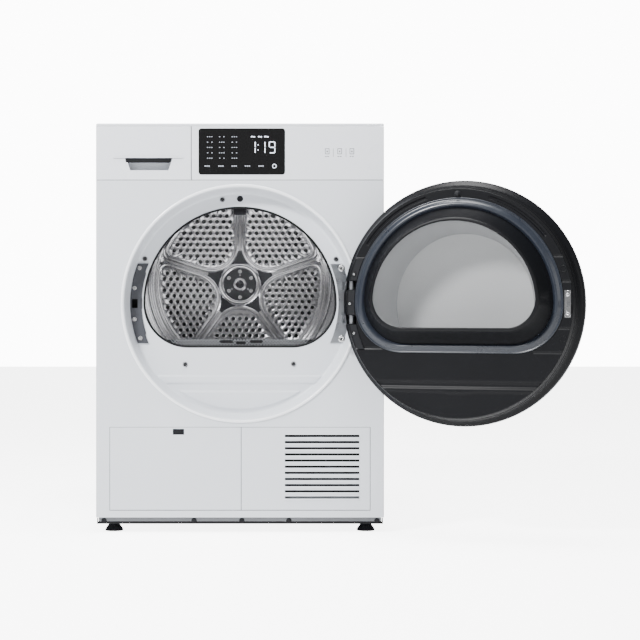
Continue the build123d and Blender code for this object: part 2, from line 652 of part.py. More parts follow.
def access_flap():
    x0, x1 = -LOW_X + SHUT, LOW_SPLIT - 0.5
    z0, z1 = LOW_Z0 + 1.0, LOW_Z1 - 0.6
    flap = block(x0, x1, FRONT, FRONT + 4, z0, z1)
    flap = fillet(flap.faces().sort_by(Axis.Y)[0].edges(), 1.2)
    flap -= block(x0 + 6, x1 - 6, FRONT + 2.2, FRONT + 9, z0 + 6, z1 - 6)
    flap -= block(-138.8, -115.4, FRONT - 1, FRONT + 9, z1 - 15.4, z1 - 3.4)
    for x in (x0 + 20, x1 - 20):
        flap += block(x - 10, x + 10, FRONT + 2, FRONT + 3.9, z0 + 1, z0 + 12)
        barrel = Pos(x, FRONT + FLAP_PIN_IN, FLAP_PIN_Z) * (Plane.YZ * Circle(1.8))
        flap += extrude(barrel, 10, both=True)
    return flap


def flap_latch():
    z1 = LOW_Z1 - 0.6
    body = block(-138.7, -115.5, FRONT + 1.2, FRONT + 4, z1 - 15.3, z1 - 3.5)
    body += block(-132, -122, FRONT - 0.4, FRONT + 3, z1 - 11.0, z1 - 5.0)
    return body + block(-136, -118, FRONT + 4, FRONT + 6, z1 - 13.5, z1 - 2.2)


def vent_grille():
    x0, x1 = LOW_SPLIT + 0.3, LOW_X - SHUT
    z0, z1 = LOW_Z0 + 1.0, LOW_Z1 - 0.6
    panel = block(x0, x1, FRONT, FRONT + 4, z0, z1)
    panel = fillet(panel.faces().sort_by(Axis.Y)[0].edges(), 1.2)
    panel -= block(x0 + 6, x1 - 6, FRONT + 2.2, FRONT + 9, z0 + 6, z1 - 6)
    for i in range(SLOTS):
        z = 199.3 - i * SLOT_PITCH
        panel -= prism_y(Pos(169.6, z) * Rectangle(154, SLOT_H), FRONT - 3, FRONT + 9)
    return panel


def switch_plunger():
    return rod_y(3.6, FLOOR_Y + 0.5, FLOOR_Y + 24, 0, 691) + rod_y(6, FLOOR_Y + 14, FLOOR_Y + 16, 0, 691)


def drum_light():
    body = block(-13, 13, PLATE_Y1 + 1, PLATE_Y1 + 20, 658, 676)
    body = fillet(body.edges().filter_by(Axis.Y), 3)
    top = DRUM_Z + sqrt((DRUM_R - 27) ** 2 - 13 ** 2) - 0.02
    for x0 in (-13, 9.5):
        body += block(x0, x0 + 3.5, PLATE_Y1 + 2, PLATE_Y1 + 14, 670, top)
    return body


def cord_gland():
    sleeve = rod_y(12, BACK - 0.35, BACK + 7, -225, 90) + rod_y(9.2, BACK - 9, BACK, -225, 90)
    return sleeve + rod_y(11, BACK - 9, BACK - 1.5, -225, 90) - rod_y(4.5, BACK - 20, BACK + 20, -225, 90)


# ---------------------------------------------------------------- door, modelled shut

def arm_slots():
    slots = None
    for z in ARM_Z:
        h = ARM_H / 2 + 1.5
        slot = block(HINGE_X - 10, DOOR_R + 10, OUTER_Y - 30, FLOOR_Y + 10, z - h, z + h)
        slot += block(HINGE_X - 22.5, DOOR_R + 10, HINGE_Y + 6, FLOOR_Y + 10, z - h, z + h)
        slots = slot if slots is None else slots + slot
    return slots


def leaf_space():
    return block(HINGE_X - 10.5, HINGE_X + 9, HINGE_Y - 8.2, HINGE_Y + 9.2, ARM_Z[0] - 24, ARM_Z[1] + 24)


def hinge_leaf():
    body = block(HINGE_X - 10, HINGE_X + 8.5, HINGE_Y - 7.8, HINGE_Y + 8.8, ARM_Z[0] - 23.5, ARM_Z[1] + 23.5)
    for z in ARM_Z:
        h = ARM_H / 2 + 0.5
        body -= block(HINGE_X - 20, HINGE_X + 20, HINGE_Y - 20, HINGE_Y + 20, z - h, z + h)
    return body + rod_z(3.0, ARM_Z[0] - 23, ARM_Z[1] + 23, HINGE_X, HINGE_Y)


def door_outer_ring():
    r, y = DOOR_R, OUTER_Y
    seam = FRONT - 13
    ring = lathe_y([(r, seam), (r, seam - 9), (r - 5, seam - 18), (r - 16, y + 0.5), (r - 58, y - 2.5), (r - 76, y - 3),
                    (r - 76, y + 0.5), (r - 58, y + 1), (r - 19, y + 4), (r - 8.5, seam - 15.5), (r - 3.5, seam - 8),
                    (r - 3.5, seam)], 0, DOOR_Z)
    return ring - arm_slots() - leaf_space()


def door_outer_window():
    r, y = DOOR_R - 76.2, OUTER_Y
    return lathe_y([(0, y - 8), (90, y - 7), (r, y - 3), (r, y + 0.4), (90, y - 4), (0, y - 5)], 0, DOOR_Z)


def door_inner_frame():
    r, f = DOOR_R, FACE_Y
    seam = FRONT - 12.8
    disc = lathe_y([(0, f), (r - 22, f), (r - 20, f - 2), (r - 15.5, f - 15), (r - 11.5, f - 30), (r - 3.5, f - 38),
                    (r, seam), (r - 3.5, seam), (r - 6.5, f - 39.5), (r - 15, f - 31.5), (r - 18.8, f - 16),
                    (r - 22.8, f - 3), (0, f - 3)], 0, DOOR_Z)
    disc += d_loft(f - 2.9, (PLUG_R, PLUG_CHORD, 88), f + PLUG_H, (GLASS_R + 2.5, GLASS_CHORD + 2.5, GLASS_CORNER + 2))
    disc -= d_loft(f - 3.1, (PLUG_R - 3.5, PLUG_CHORD - 3.5, 85), f + PLUG_H - WALL,
                   (GLASS_R - 1, GLASS_CHORD - 1, GLASS_CORNER - 1))
    disc -= prism_y(d_shape(GLASS_R - 4, GLASS_CHORD - 4, GLASS_CORNER - 4), f, f + PLUG_H + 5, 0, DOOR_Z)
    disc += rod_y(3.2, f - 1, f + 6.8, 0, 691)
    disc -= prism_y(Pos(0, 314 - DOOR_Z) * SlotOverall(345, 11), f - 1.6, f + 5, 0, DOOR_Z)
    disc -= block(-224.6, -213.9, f - 9, f + 5, 460.5, 485.5)
    for z in (DOOR_Z + 73, DOOR_Z - 73):
        disc -= rod_y(4.2, f - 9, f + 5, -213, z)
    return disc - arm_slots() - leaf_space()


def door_window_bowl():
    f = FACE_Y + PLUG_H - WALL
    rim = prism_y(d_shape(GLASS_R - 1.6, GLASS_CHORD - 1.6, GLASS_CORNER - 1.6), f - 4, f - 0.02, 0, DOOR_Z)
    return rim + prism_y(d_shape(GLASS_R - 4.2, GLASS_CHORD - 4.2, GLASS_CORNER - 4.2), f - 0.5, f + 2.0, 0, DOOR_Z)


def door_gasket():
    f = FACE_Y
    outer = prism_y(d_shape(LIP_R, LIP_CHORD, OPEN_CORNER + 6), f + 0.02, f + 7.0, 0, DOOR_Z)
    outer -= prism_y(d_shape(LIP_R - 8.0, LIP_CHORD - 8.0, OPEN_CORNER - 2), f - 1, f + 9, 0, DOOR_Z)
    for x in (-215, 215):
        outer -= block(x - 40, x + 40, f + 4.5, f + 9, DOOR_Z - 88, DOOR_Z + 88)
    groove = prism_y(d_shape(LIP_R - 2.5, LIP_CHORD - 2.5, OPEN_CORNER + 3.5), f + 4.5, f + 9, 0, DOOR_Z)
    return outer - (groove - prism_y(d_shape(LIP_R - 5.5, LIP_CHORD - 5.5, OPEN_CORNER + 0.5), f, f + 10, 0, DOOR_Z))


def strike_plate():
    f = FACE_Y
    plate = block(-224.4, -214.1, f - 2, f + 1.2, 460.7, 485.3)
    plate += block(-225.6, -213.2, f + 0.02, f + 1.2, 446, 500)
    hook = block(-221, -217.6, f, f + 19, 467, 479) - block(-225, -213, f + 8, f + 14, 470, 476.5)
    return plate + hook


def hinge_cover():
    f = FACE_Y
    cover = sector(DOOR_R - 22.5, LIP_R + 1.2, 92, 1, f + 0.02, f + 2.4)
    return cover - arm_slots()


DOOR = {"door_outer_ring": door_outer_ring, "door_outer_window": door_outer_window,
        "door_inner_frame": door_inner_frame, "door_window_bowl": door_window_bowl, "door_gasket": door_gasket,
        "strike_plate": strike_plate, "hinge_cover": hinge_cover, "hinge_leaf": hinge_leaf}

FIXED = {"base_frame": base_frame, "kick_strip": kick_strip, "back_panel": back_panel,
         "rear_duct_cover": rear_duct_cover, "top_panel": top_panel, "front_panel": front_panel,
         "door_recess_panel": door_recess_panel, "opening_gasket": opening_gasket, "fixed_screws": fixed_screws,
         "latch_cover": latch_cover, "hinge_bracket": hinge_bracket, "control_fascia": control_fascia,
         "display_window": display_window, "drum_front_support": drum_front_support, "drum_seals": drum_seals,
         "rear_bearing_housing": rear_bearing_housing, "drum_shell": drum_shell,
         "drum_rear_wall": drum_rear_wall, "drum_hub": drum_hub, "hub_screws": hub_screws,
         "drum_lifters": drum_lifters, "drum_belt": drum_belt, "motor_body": motor_body,
         "motor_rotor": motor_rotor, "blower_wheel": blower_wheel, "blower_housing": blower_housing,
         "idler_arm": idler_arm, "idler_pulley": idler_pulley,
         "heat_exchanger_housing": heat_exchanger_housing, "compressor": compressor,
         "tank_guide": tank_guide, "tank_body": tank_body,
         "tank_lid": tank_lid, "drawer_front": drawer_front, "lint_filter_frame": lint_filter_frame,
         "lint_filter_mesh": lint_filter_mesh, "access_flap": access_flap, "flap_latch": flap_latch,
         "vent_grille": vent_grille, "switch_plunger": switch_plunger, "drum_light": drum_light,
         "cord_gland": cord_gland}


def assembly():
    parts = {name: make() for name, make in FIXED.items()}
    parts.update({name: door_open(make()) for name, make in DOOR.items()})
    parts["side_panel_left"] = side_panel(-1)
    parts["side_panel_right"] = side_panel(1)
    parts["front_roller_left"] = front_roller(-1)
    parts["front_roller_right"] = front_roller(1)
    parts["evaporator"] = finned_block(-250, -58, -222, -122, 46, 160)
    parts["condenser"] = finned_block(-250, -58, -108, 26, 46, 160)
    for name, sx, sy in (("front_left", -1, -1), ("front_right", 1, -1), ("rear_left", -1, 1), ("rear_right", 1, 1)):
        parts["foot_" + name] = foot(sx, sy)
    return parts


os.makedirs("parts", exist_ok=True)
for node, shape in assembly().items():
    export_step(shape, "parts/" + node + ".step")
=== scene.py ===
import json
import math

import bmesh
import bpy
import numpy as np
from bpy.props import FloatProperty, FloatVectorProperty, IntProperty, PointerProperty
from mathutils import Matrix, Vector


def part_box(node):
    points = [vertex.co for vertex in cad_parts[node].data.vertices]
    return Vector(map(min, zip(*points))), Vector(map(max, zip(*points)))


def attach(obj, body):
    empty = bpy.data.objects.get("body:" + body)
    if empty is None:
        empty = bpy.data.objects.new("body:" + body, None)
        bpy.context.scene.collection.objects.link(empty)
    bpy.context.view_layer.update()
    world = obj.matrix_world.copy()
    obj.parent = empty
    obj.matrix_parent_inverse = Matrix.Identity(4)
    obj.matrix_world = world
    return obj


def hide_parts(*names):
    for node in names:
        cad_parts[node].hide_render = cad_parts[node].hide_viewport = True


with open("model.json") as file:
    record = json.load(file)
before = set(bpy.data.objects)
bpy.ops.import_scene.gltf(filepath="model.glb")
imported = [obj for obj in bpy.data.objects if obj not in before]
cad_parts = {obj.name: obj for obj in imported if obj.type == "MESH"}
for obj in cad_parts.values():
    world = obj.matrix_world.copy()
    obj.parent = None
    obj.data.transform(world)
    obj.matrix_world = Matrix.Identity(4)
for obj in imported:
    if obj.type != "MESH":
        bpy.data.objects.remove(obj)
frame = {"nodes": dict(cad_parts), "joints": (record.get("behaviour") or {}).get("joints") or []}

bl_info = {
    "name": "Clothes dryer",
    "version": (1, 0, 0),
    "blender": (4, 5, 0),
    "location": "3D View > Sidebar > Dryer",
    "description": "Finished surfaces, materials and studio for a front-loading clothes dryer",
    "category": "Object",
}

MM = 0.001
TURN = 2 * math.pi
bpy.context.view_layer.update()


def linear(hexcode):
    """sRGB hex colour as linear red, green and blue."""
    srgb = np.array([int(hexcode[i:i + 2], 16) for i in (1, 3, 5)]) / 255
    return tuple(np.where(srgb <= 0.04045, srgb / 12.92, ((srgb + 0.055) / 1.055) ** 2.4).tolist())


def joint(name):
    """Frame entry of a joint."""
    return next(j for j in frame["joints"] if j["name"] == name)


def centre(node):
    """Middle of a CAD node's box, in metres."""
    low, high = (np.array(c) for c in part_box(node))
    return (low + high) / 2


# Places read from the frame, in metres
FRONT = float(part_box("front_panel")[0][1])
DOOR_Z = float(centre("door_recess_panel")[2])
RECESS_DEPTH = 38 * MM
DOOR_CLEARANCE = 8 * MM
FLOOR_Y = FRONT + RECESS_DEPTH
FACE_Y = FLOOR_Y - DOOR_CLEARANCE
DRUM_Z = float(joint("drum_spin")["pos_m"][2])
DRUM_Y0, DRUM_Y1 = (float(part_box("drum_shell")[i][1]) for i in (0, 1))
HINGE = np.array(joint("door_hinge")["pos_m"])
DOOR_OPEN = -math.radians(joint("door_hinge")["range_deg"][0])
FORWARD = Vector((0, -1, 0))
PIN_Z = 0.691  # door pin and the bush that takes it
HINGE_X = 0.2085  # hinge bosses and the arms' slots in the liner


def length(name, description, default):
    """A property that holds a length in metres."""
    return FloatProperty(name=name, description=description, default=default, unit="LENGTH")


def colour(name, description, hexcode):
    """A property that holds a colour."""
    return FloatVectorProperty(name=name, description=description, subtype="COLOR",
                               default=linear(hexcode), min=0, max=1)


class DryerSizes(bpy.types.PropertyGroup):
    """Sizes of the finished surfaces that can be changed"""
    trim: length("Trim ring", "Width of the bright ring round the door recess", 6.0 * MM)
    hole: length("Air hole", "Radius of each air hole in the back of the drum", 4.0 * MM)
    pitch: length("Hole pitch", "Distance between neighbouring air holes", 15.2 * MM)
    spoke: length("Spoke width", "Width of the pressed channels between the petals", 27 * MM)
    ridge: length("Recess ridge", "Height of the pressed ridge under the opening", 2.8 * MM)
    round_steps: IntProperty(name="Round steps", description="Segments in a full circle of a turned surface",
                             default=224, min=48, max=512)
    view_distance: length("View distance", "Camera distance from the front panel", 4.0)
    view_height: length("View height", "Camera height above the floor", 0.49)


class DryerColours(bpy.types.PropertyGroup):
    """Colours that can be changed"""
    cabinet: colour("Cabinet", "Powder coat of the cabinet", "#cfd3d9")
    band: colour("Control band", "Moulded control band and drawer front", "#dcdfe5")
    door: colour("Door liner", "Dark moulded inside of the door", "#0b0c0f")
    ring: colour("Door ring", "Lacquered ring round the door", "#55575b")
    marks: colour("Display marks", "Light of the display", "#e9f1ff")


# ------------------------------------------------------------------ materials

def node(tree, kind, settings=None, links=None):
    """Adds one shader node, sets its properties and socket values, and links named inputs."""
    made = tree.nodes.new(kind)
    for key, value in (settings or {}).items():
        if key in made.inputs:
            made.inputs[key].default_value = value
        else:
            setattr(made, key, value)
    for key, source in (links or {}).items():
        tree.links.new(source, made.inputs[key])
    return made


# name: colour, roughness, metallic, tint size mm, tint amount, grain size mm, grain depth mm,
# roughness spread
FINISHES = {
    # Polyester powder coat on sheet steel: satin, faint orange peel a few mm across
    "powder_coat_white": ("cabinet", 0.36, 0.0, 240, 0.018, 3.2, 0.035, 0.05),
    # Melamine laminate on the worktop board: a fine, even pebble under a low sheen
    "melamine_laminate_white": ("band", 0.40, 0.0, 200, 0.015, 1.4, 0.020, 0.06),
    # ABS moulded in a polished tool: smoother and a little brighter than the painted steel
    "abs_white_satin": ("band", 0.28, 0.0, 160, 0.012, 1.1, 0.010, 0.05),
    # Glossy trim ring in the brightest of the whites: a painted highlight along the recess lip
    "abs_white_gloss": ("#f2f4f8", 0.16, 0.0, 120, 0.010, 1.6, 0.006, 0.04),
    # Cast acrylic over the display: deep black, near mirror
    "acrylic_black": ("#0b0b0c", 0.08, 0.0, 60, 0.05, 30, 0.004, 0.03),
    # Passivated zinc-coated kick strip, darker than the panels behind
    "zinc_sheet_dull": ("#6f7174", 0.40, 1.0, 60, 0.12, 0.9, 0.02, 0.10),
    # Hot-dip galvanised sheet: dull grey with spangle
    "galvanised_steel": ("#a9acae", 0.42, 1.0, 14, 0.10, 9, 0.03, 0.16),
    # Rolled stainless sheet, bright annealed
    "stainless_bright": ("#e4e4e6", 0.20, 1.0, 50, 0.05, 0.9, 0.012, 0.10),
    # Polished stainless of the hub ring
    "stainless_polished": ("#f0f0f2", 0.10, 1.0, 40, 0.03, 4, 0.006, 0.05),
    # Dark cast disc of the hub, satin
    "cast_disc_grey": ("#5b5d60", 0.45, 0.7, 20, 0.08, 1.2, 0.05, 0.12),
    # Zinc-plated steel screws
    "zinc_plate": ("#d5d6d8", 0.25, 1.0, 6, 0.08, 0.8, 0.02, 0.12),
    # Die-cast zinc hinge, tumbled satin
    "zamak_satin": ("#a2a5aa", 0.30, 1.0, 18, 0.05, 0.9, 0.03, 0.10),
    # Polypropylene moulded in a spark-eroded tool
    "polypropylene_black": ("#17181b", 0.50, 0.0, 30, 0.06, 0.8, 0.05, 0.10),
    # Dark grey plate over the latch
    "polypropylene_slate": ("#34363c", 0.42, 0.0, 30, 0.05, 0.8, 0.04, 0.08),
    # ABS and PC blend of the door liner, satin with a blue cast
    "abs_door_liner": ("door", 0.40, 0.0, 120, 0.05, 1.0, 0.014, 0.06),
    # Metallic lacquer on the door ring
    "lacquer_silver_grey": ("ring", 0.24, 0.75, 1.2, 0.05, 0.9, 0.008, 0.05),
    # EPDM extrusion of the door seal, soft bloom
    "epdm_blue_grey": ("#1d222b", 0.30, 0.0, 40, 0.06, 0.7, 0.03, 0.10),
    "epdm_black": ("#101113", 0.55, 0.0, 40, 0.06, 0.7, 0.03, 0.10),
    # Grey strip laid in the gaps between panels: painted shade of the grooves
    "seam_foam_grey": ("#4b4e53", 0.85, 0.0, 20, 0.06, 0.9, 0.05, 0.05),
    # Black sheet behind the intake slots: painted shade of the dark space behind the vent
    "filter_foam_black": ("#08090a", 0.95, 0.0, 5, 0.20, 1.0, 0.30, 0.03),
    # Pressed wool felt
    "felt_wool": ("#8a857b", 0.95, 0.0, 4, 0.18, 0.6, 0.25, 0.02),
    # Grey polypropylene inner mouldings
    "polypropylene_grey": ("#8d9094", 0.46, 0.0, 60, 0.04, 1.0, 0.04, 0.08),
    # Smoke-grey lining between the two panes
    "lining_grey": ("#7c7e80", 0.50, 0.0, 90, 0.05, 1.4, 0.02, 0.06),
    # Neoprene ribbed belt
    "neoprene_belt": ("#161616", 0.70, 0.0, 12, 0.10, 0.6, 0.08, 0.06),
    # Stoved black enamel of the compressor
    "enamel_black": ("#121315", 0.30, 0.0, 40, 0.05, 2.4, 0.02, 0.08),
    # Varnish-dipped laminated iron
    "varnished_iron": ("#3b3d40", 0.48, 0.6, 12, 0.12, 0.8, 0.06, 0.12),
    # Bare aluminium fin stock
    "fin_aluminium": ("#d3d5d7", 0.34, 1.0, 10, 0.06, 1.8, 0.06, 0.10),
    # Natural polypropylene tank
    "polypropylene_natural": ("#d3d8dd", 0.38, 0.0, 60, 0.03, 1.4, 0.02, 0.06),
    # Woven polyester filter mesh
    "polyester_mesh": ("#2a2b2e", 0.75, 0.0, 6, 0.15, 1.2, 0.20, 0.05),
    # Bright chrome plate
    "chrome_plate": ("#e8e9eb", 0.09, 1.0, 20, 0.03, 6, 0.006, 0.05),
    # Grey print on the control band
    "print_grey": ("#5d6065", 0.45, 0.0, 10, 0.04, 0.6, 0.004, 0.04),
}
GLASS = {
    # Toughened soda-lime glass, faint grey, seen through
    "glass_inner": ("#8c8e90", 0.16, 0.04),
    # Outer pane with a grey ceramic print on its back
    "glass_tinted": ("#bdbebf", 0.96, 0.12),
}
_made = {}


def colour_of(value):
    """Linear colour from a hex code or from the name of a colour property."""
    if value.startswith("#"):
        return linear(value)
    return tuple(getattr(bpy.context.scene.dryer_colours, value))


def blank(name):
    """New material: itself, its node tree, its shader and the Object coordinates."""
    made = bpy.data.materials.new(name)
    made.use_nodes = True
    _made[name] = made
    tree = made.node_tree
    return made, tree, tree.nodes["Principled BSDF"], node(tree, "ShaderNodeTexCoord").outputs["Object"]


def blend(tree, source, low, high, sockets, start=0.0, end=1.0):
    """Feeds sockets with a colour between low and high, picked by a slow texture."""
    ramp = node(tree, "ShaderNodeValToRGB", None, {"Fac": source})
    for stop, place, value in zip(ramp.color_ramp.elements, (start, end), (low, high)):
        stop.position = place
        stop.color = (*value, 1.0)
    for socket in sockets:
        tree.links.new(ramp.outputs["Color"], socket)


def finish(name):
    """A finish with a slow tint, a fine grain in the bump and a spread of roughness."""
    if name in _made:
        return _made[name]
    tone, rough, metal, tint_mm, tint, grain_mm, grain_depth, spread = FINISHES[name]
    made, tree, shader, spot = blank(name)

    def texture(kind, size_mm, **settings):
        return node(tree, "ShaderNodeTex" + kind, {"Scale": 1 / (size_mm * MM), **settings}, {"Vector": spot})

    if name == "galvanised_steel":
        slow = texture("Voronoi", tint_mm).outputs[0]
    else:
        slow = texture("Noise", tint_mm, Detail=3.0).outputs[0]
    base = np.array(colour_of(tone))
    low, high = (np.clip(base * (1 + s * tint), 0, 1).tolist() for s in (-1, 1))
    blend(tree, slow, low, high, [shader.inputs["Base Color"]], 0.25, 0.75)
    if name == "fin_aluminium":
        height = texture("Wave", 6 * 3.2).outputs[0]
    elif name == "polyester_mesh":
        height = texture("Checker", 2).outputs[1]
    else:
        height = texture("Noise", grain_mm, Detail=2.0).outputs[0]
    bump = node(tree, "ShaderNodeBump", {"Strength": 0.5, "Distance": grain_depth * MM}, {"Height": height})
    tree.links.new(bump.outputs["Normal"], shader.inputs["Normal"])
    limits = {"To Min": max(rough - spread, 0.02), "To Max": rough + spread}
    spread_map = node(tree, "ShaderNodeMapRange", limits, {"Value": slow})
    tree.links.new(spread_map.outputs["Result"], shader.inputs["Roughness"])
    shader.inputs["Metallic"].default_value = metal
    if name in ("abs_white_satin", "acrylic_black", "lacquer_silver_grey", "enamel_black"):
        shader.inputs["Coat Weight"].default_value = 0.35
        shader.inputs["Coat Roughness"].default_value = 0.08
    if name in ("abs_door_liner", "polypropylene_black", "epdm_black"):
        shader.inputs["Specular IOR Level"].default_value = 0.15
    if name == "felt_wool":
        shader.inputs["Sheen Weight"].default_value = 0.4
    return made


def glass(name):
    """Clear pane: mostly see-through, with the sharp reflection of polished glass and a slow ripple."""
    if name in _made:
        return _made[name]
    tone, alpha, rough = GLASS[name]
    made, tree, shader, spot = blank(name)
    ripple = node(tree, "ShaderNodeTexNoise", {"Scale": 1 / (90 * MM), "Detail": 1.0}, {"Vector": spot})
    low, high = ([k * c for c in linear(tone)] for k in (0.96, 1.04))
    blend(tree, ripple.outputs[0], low, high, [shader.inputs["Base Color"]])
    bump = node(tree, "ShaderNodeBump", {"Strength": 0.2, "Distance": 0.02 * MM},
                {"Height": ripple.outputs[0]})
    tree.links.new(bump.outputs["Normal"], shader.inputs["Normal"])
    shader.inputs["Alpha"].default_value = alpha
    shader.inputs["Roughness"].default_value = rough
    shader.inputs["IOR"].default_value = 1.52
    return made


def glow(name, light, power):
    """Light-emitting print with a slow change in brightness."""
    if name in _made:
        return _made[name]
    made, tree, shader, spot = blank(name)
    slow = node(tree, "ShaderNodeTexNoise", {"Scale": 1 / (30 * MM)}, {"Vector": spot})
    sockets = [shader.inputs[key] for key in ("Emission Color", "Base Color")]
    blend(tree, slow.outputs[0], [0.9 * c for c in light], light, sockets)
    shader.inputs["Emission Strength"].default_value = power
    return made


def dress(material, nodes):
    """Gives CAD nodes a material."""
    for name in nodes:
        mesh = frame["nodes"][name].data
        mesh.materials.clear()
        mesh.materials.append(material)


# ------------------------------------------------------------------ surfaces

def quads(rows, cols, close_rows=False, close_cols=False):
    """Corner numbers of the faces of a grid of rows by cols points."""
    i = np.arange(rows if close_rows else rows - 1)
    j = np.arange(cols if close_cols else cols - 1)
    i, j = (a.ravel() for a in np.meshgrid(i, j, indexing="ij"))
    a, b = i * cols + j, ((i + 1) % rows) * cols + j
    return np.stack([a, b, ((i + 1) % rows) * cols + (j + 1) % cols, i * cols + (j + 1) % cols], 1)


def piece(name, sheets, material, body, replaces=(), toward=None, sharp=32, merge=0.02 * MM):
    """One object from grids of points, or (points, faces) pairs. Doubles are merged and faces turned outward:
    on a closed shell by recalculation, on an open skin towards the given direction."""
    points, faces, start = [], [], 0
    for sheet in sheets:
        if isinstance(sheet, tuple):
            p, f = sheet
        else:
            p, f = sheet.reshape(-1, 3), quads(*sheet.shape[:2])
        points.append(p)
        faces += (f + start).tolist() if isinstance(f, np.ndarray) else [[c + start for c in g] for g in f]
        start += len(p)
    mesh = bpy.data.meshes.new(name)
    mesh.from_pydata(np.concatenate(points).tolist(), [], faces)
    shell = bmesh.new()
    shell.from_mesh(mesh)
    bmesh.ops.remove_doubles(shell, verts=shell.verts, dist=merge)
    bmesh.ops.dissolve_degenerate(shell, dist=merge / 4, edges=shell.edges)
    bmesh.ops.recalc_face_normals(shell, faces=shell.faces)
    if toward is not None:
        way = sum((f.normal * f.calc_area() for f in shell.faces), start=shell.faces[0].normal * 0)
        if way.dot(toward) < 0:
            bmesh.ops.reverse_faces(shell, faces=shell.faces)
    shell.to_mesh(mesh)
    shell.free()
    mesh.polygons.foreach_set("use_smooth", np.ones(len(mesh.polygons), bool))
    mesh.set_sharp_from_angle(angle=math.radians(sharp))
    mesh.materials.append(material)
    made = bpy.data.objects.new(name, mesh)
    bpy.context.scene.collection.objects.link(made)
    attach(made, body)
    if replaces:
        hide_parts(*replaces)
    return made


def turned(profile, x=0.0, z=0.0, steps=None):
    """Surface of revolution about a line along Y: each profile point (radius, y) goes round a full circle."""
    steps = steps or bpy.context.scene.dryer_sizes.round_steps
    profile = np.asarray(profile, float) * MM
    a = np.linspace(0, TURN, steps + 1)
    r, y = profile[:, 0], profile[:, 1]
    return np.stack([x + np.outer(np.cos(a), r), np.broadcast_to(y, (len(a), len(r))),
                     z + np.outer(np.sin(a), r)], -1)


def polar(r, y, angle):
    """Grid of points from radii and heights in mm along each angle about the door's centre."""
    return np.stack([r * np.cos(angle)[:, None] * MM, y * MM, DOOR_Z + r * np.sin(angle)[:, None] * MM], -1)


def rounded(profile, r, steps=5):
    """Profile with each inner corner replaced by an arc-like curve r long each side (quadratic blend)."""
    p = np.asarray(profile, float)
    out = [p[0]]
    for a, b, c in zip(p[:-2], p[1:-1], p[2:]):
        before, after = np.linalg.norm(b - a), np.linalg.norm(c - b)
        s = b + (a - b) / max(before, 1e-9) * min(r, 0.45 * before)
        e = b + (c - b) / max(after, 1e-9) * min(r, 0.45 * after)
        t = np.linspace(0, 1, steps)[:, None]
        out += list((1 - t) ** 2 * s + 2 * t * (1 - t) * b + t ** 2 * e)
    return np.array(out + [p[-1]])


def d_reach(angle, radius, chord, corner):
    """Distance from the centre to the edge of a rounded D along each angle: a circle cut by a level chord,
    both drawn in by the corner radius and then grown by it. Found by halving an interval."""
    low, high = np.zeros_like(angle), np.full_like(angle, radius * 1.2)
    c, s = np.cos(angle), np.sin(angle)
    ri, floor = radius - corner, -(chord - corner)
    cx = math.sqrt(max(ri * ri - floor * floor, 0))
    for _ in range(34):
        mid = (low + high) / 2
        x, z = np.abs(mid * c), mid * s
        below = np.where(x <= cx, floor - z, np.hypot(x - cx, z - floor))
        inside = np.where(z < floor, below, np.hypot(x, z) - ri) < corner
        low, high = np.where(inside, mid, low), np.where(inside, high, mid)
    return (low + high) / 2


def smooth_step(x):
    """Smooth rise from 0 at 0 to 1 at 1."""
    t = np.clip(x, 0, 1)
    return t * t * (3 - 2 * t)


def hump(x):
    """Smooth bump, 1 at 0 and 0 beyond 1 either side."""
    return np.where(np.abs(x) < 1, (1 - np.minimum(x * x, 1)) ** 2, 0.0)


def opened(points):
    """Turns points of the shut door about the hinge to where the open door holds them."""
    flat = isinstance(points, tuple)
    p = points[0] if flat else points
    c, s = math.cos(DOOR_OPEN), math.sin(DOOR_OPEN)
    x, y = p[..., 0] - HINGE[0], p[..., 1] - HINGE[1]
    q = np.stack([HINGE[0] + c * x - s * y, HINGE[1] + s * x + c * y, p[..., 2]], -1)
    return (q, points[1]) if flat else q


def rounded_box(low, high, r, steps=3):
    """Closed box with rounded edges: a sphere of radius r whose eight parts are moved out to the corners."""
    low, high = np.array(low, float), np.array(high, float)
    half, mid = (high - low) / 2 - r, (high + low) / 2
    quarter = np.linspace(0, math.pi / 2, steps + 1)
    u = np.concatenate([quarter + k * math.pi / 2 for k in range(4)])
    v = np.concatenate([quarter - math.pi / 2, quarter])
    su = np.repeat([[1, 1], [-1, 1], [-1, -1], [1, -1]], steps + 1, 0)
    sv = np.repeat([-1, 1], steps + 1)
    n = np.stack([np.outer(np.cos(v), np.cos(u)), np.outer(np.cos(v), np.sin(u)),
                  np.outer(np.sin(v), np.ones_like(u))], -1)
    side = np.stack([np.broadcast_to(su[:, 0], n.shape[:2]), np.broadcast_to(su[:, 1], n.shape[:2]),
                     np.broadcast_to(sv[:, None], n.shape[:2])], -1)
    p = mid + side * half + n * r
    f = quads(*p.shape[:2], close_cols=True).tolist()
    count = len(u)
    f.append(list(range(count)))
    f.append([p.shape[0] * count - 1 - k for k in range(count)])
    return p.reshape(-1, 3), f


# ------------------------------------------------------------------ pieces

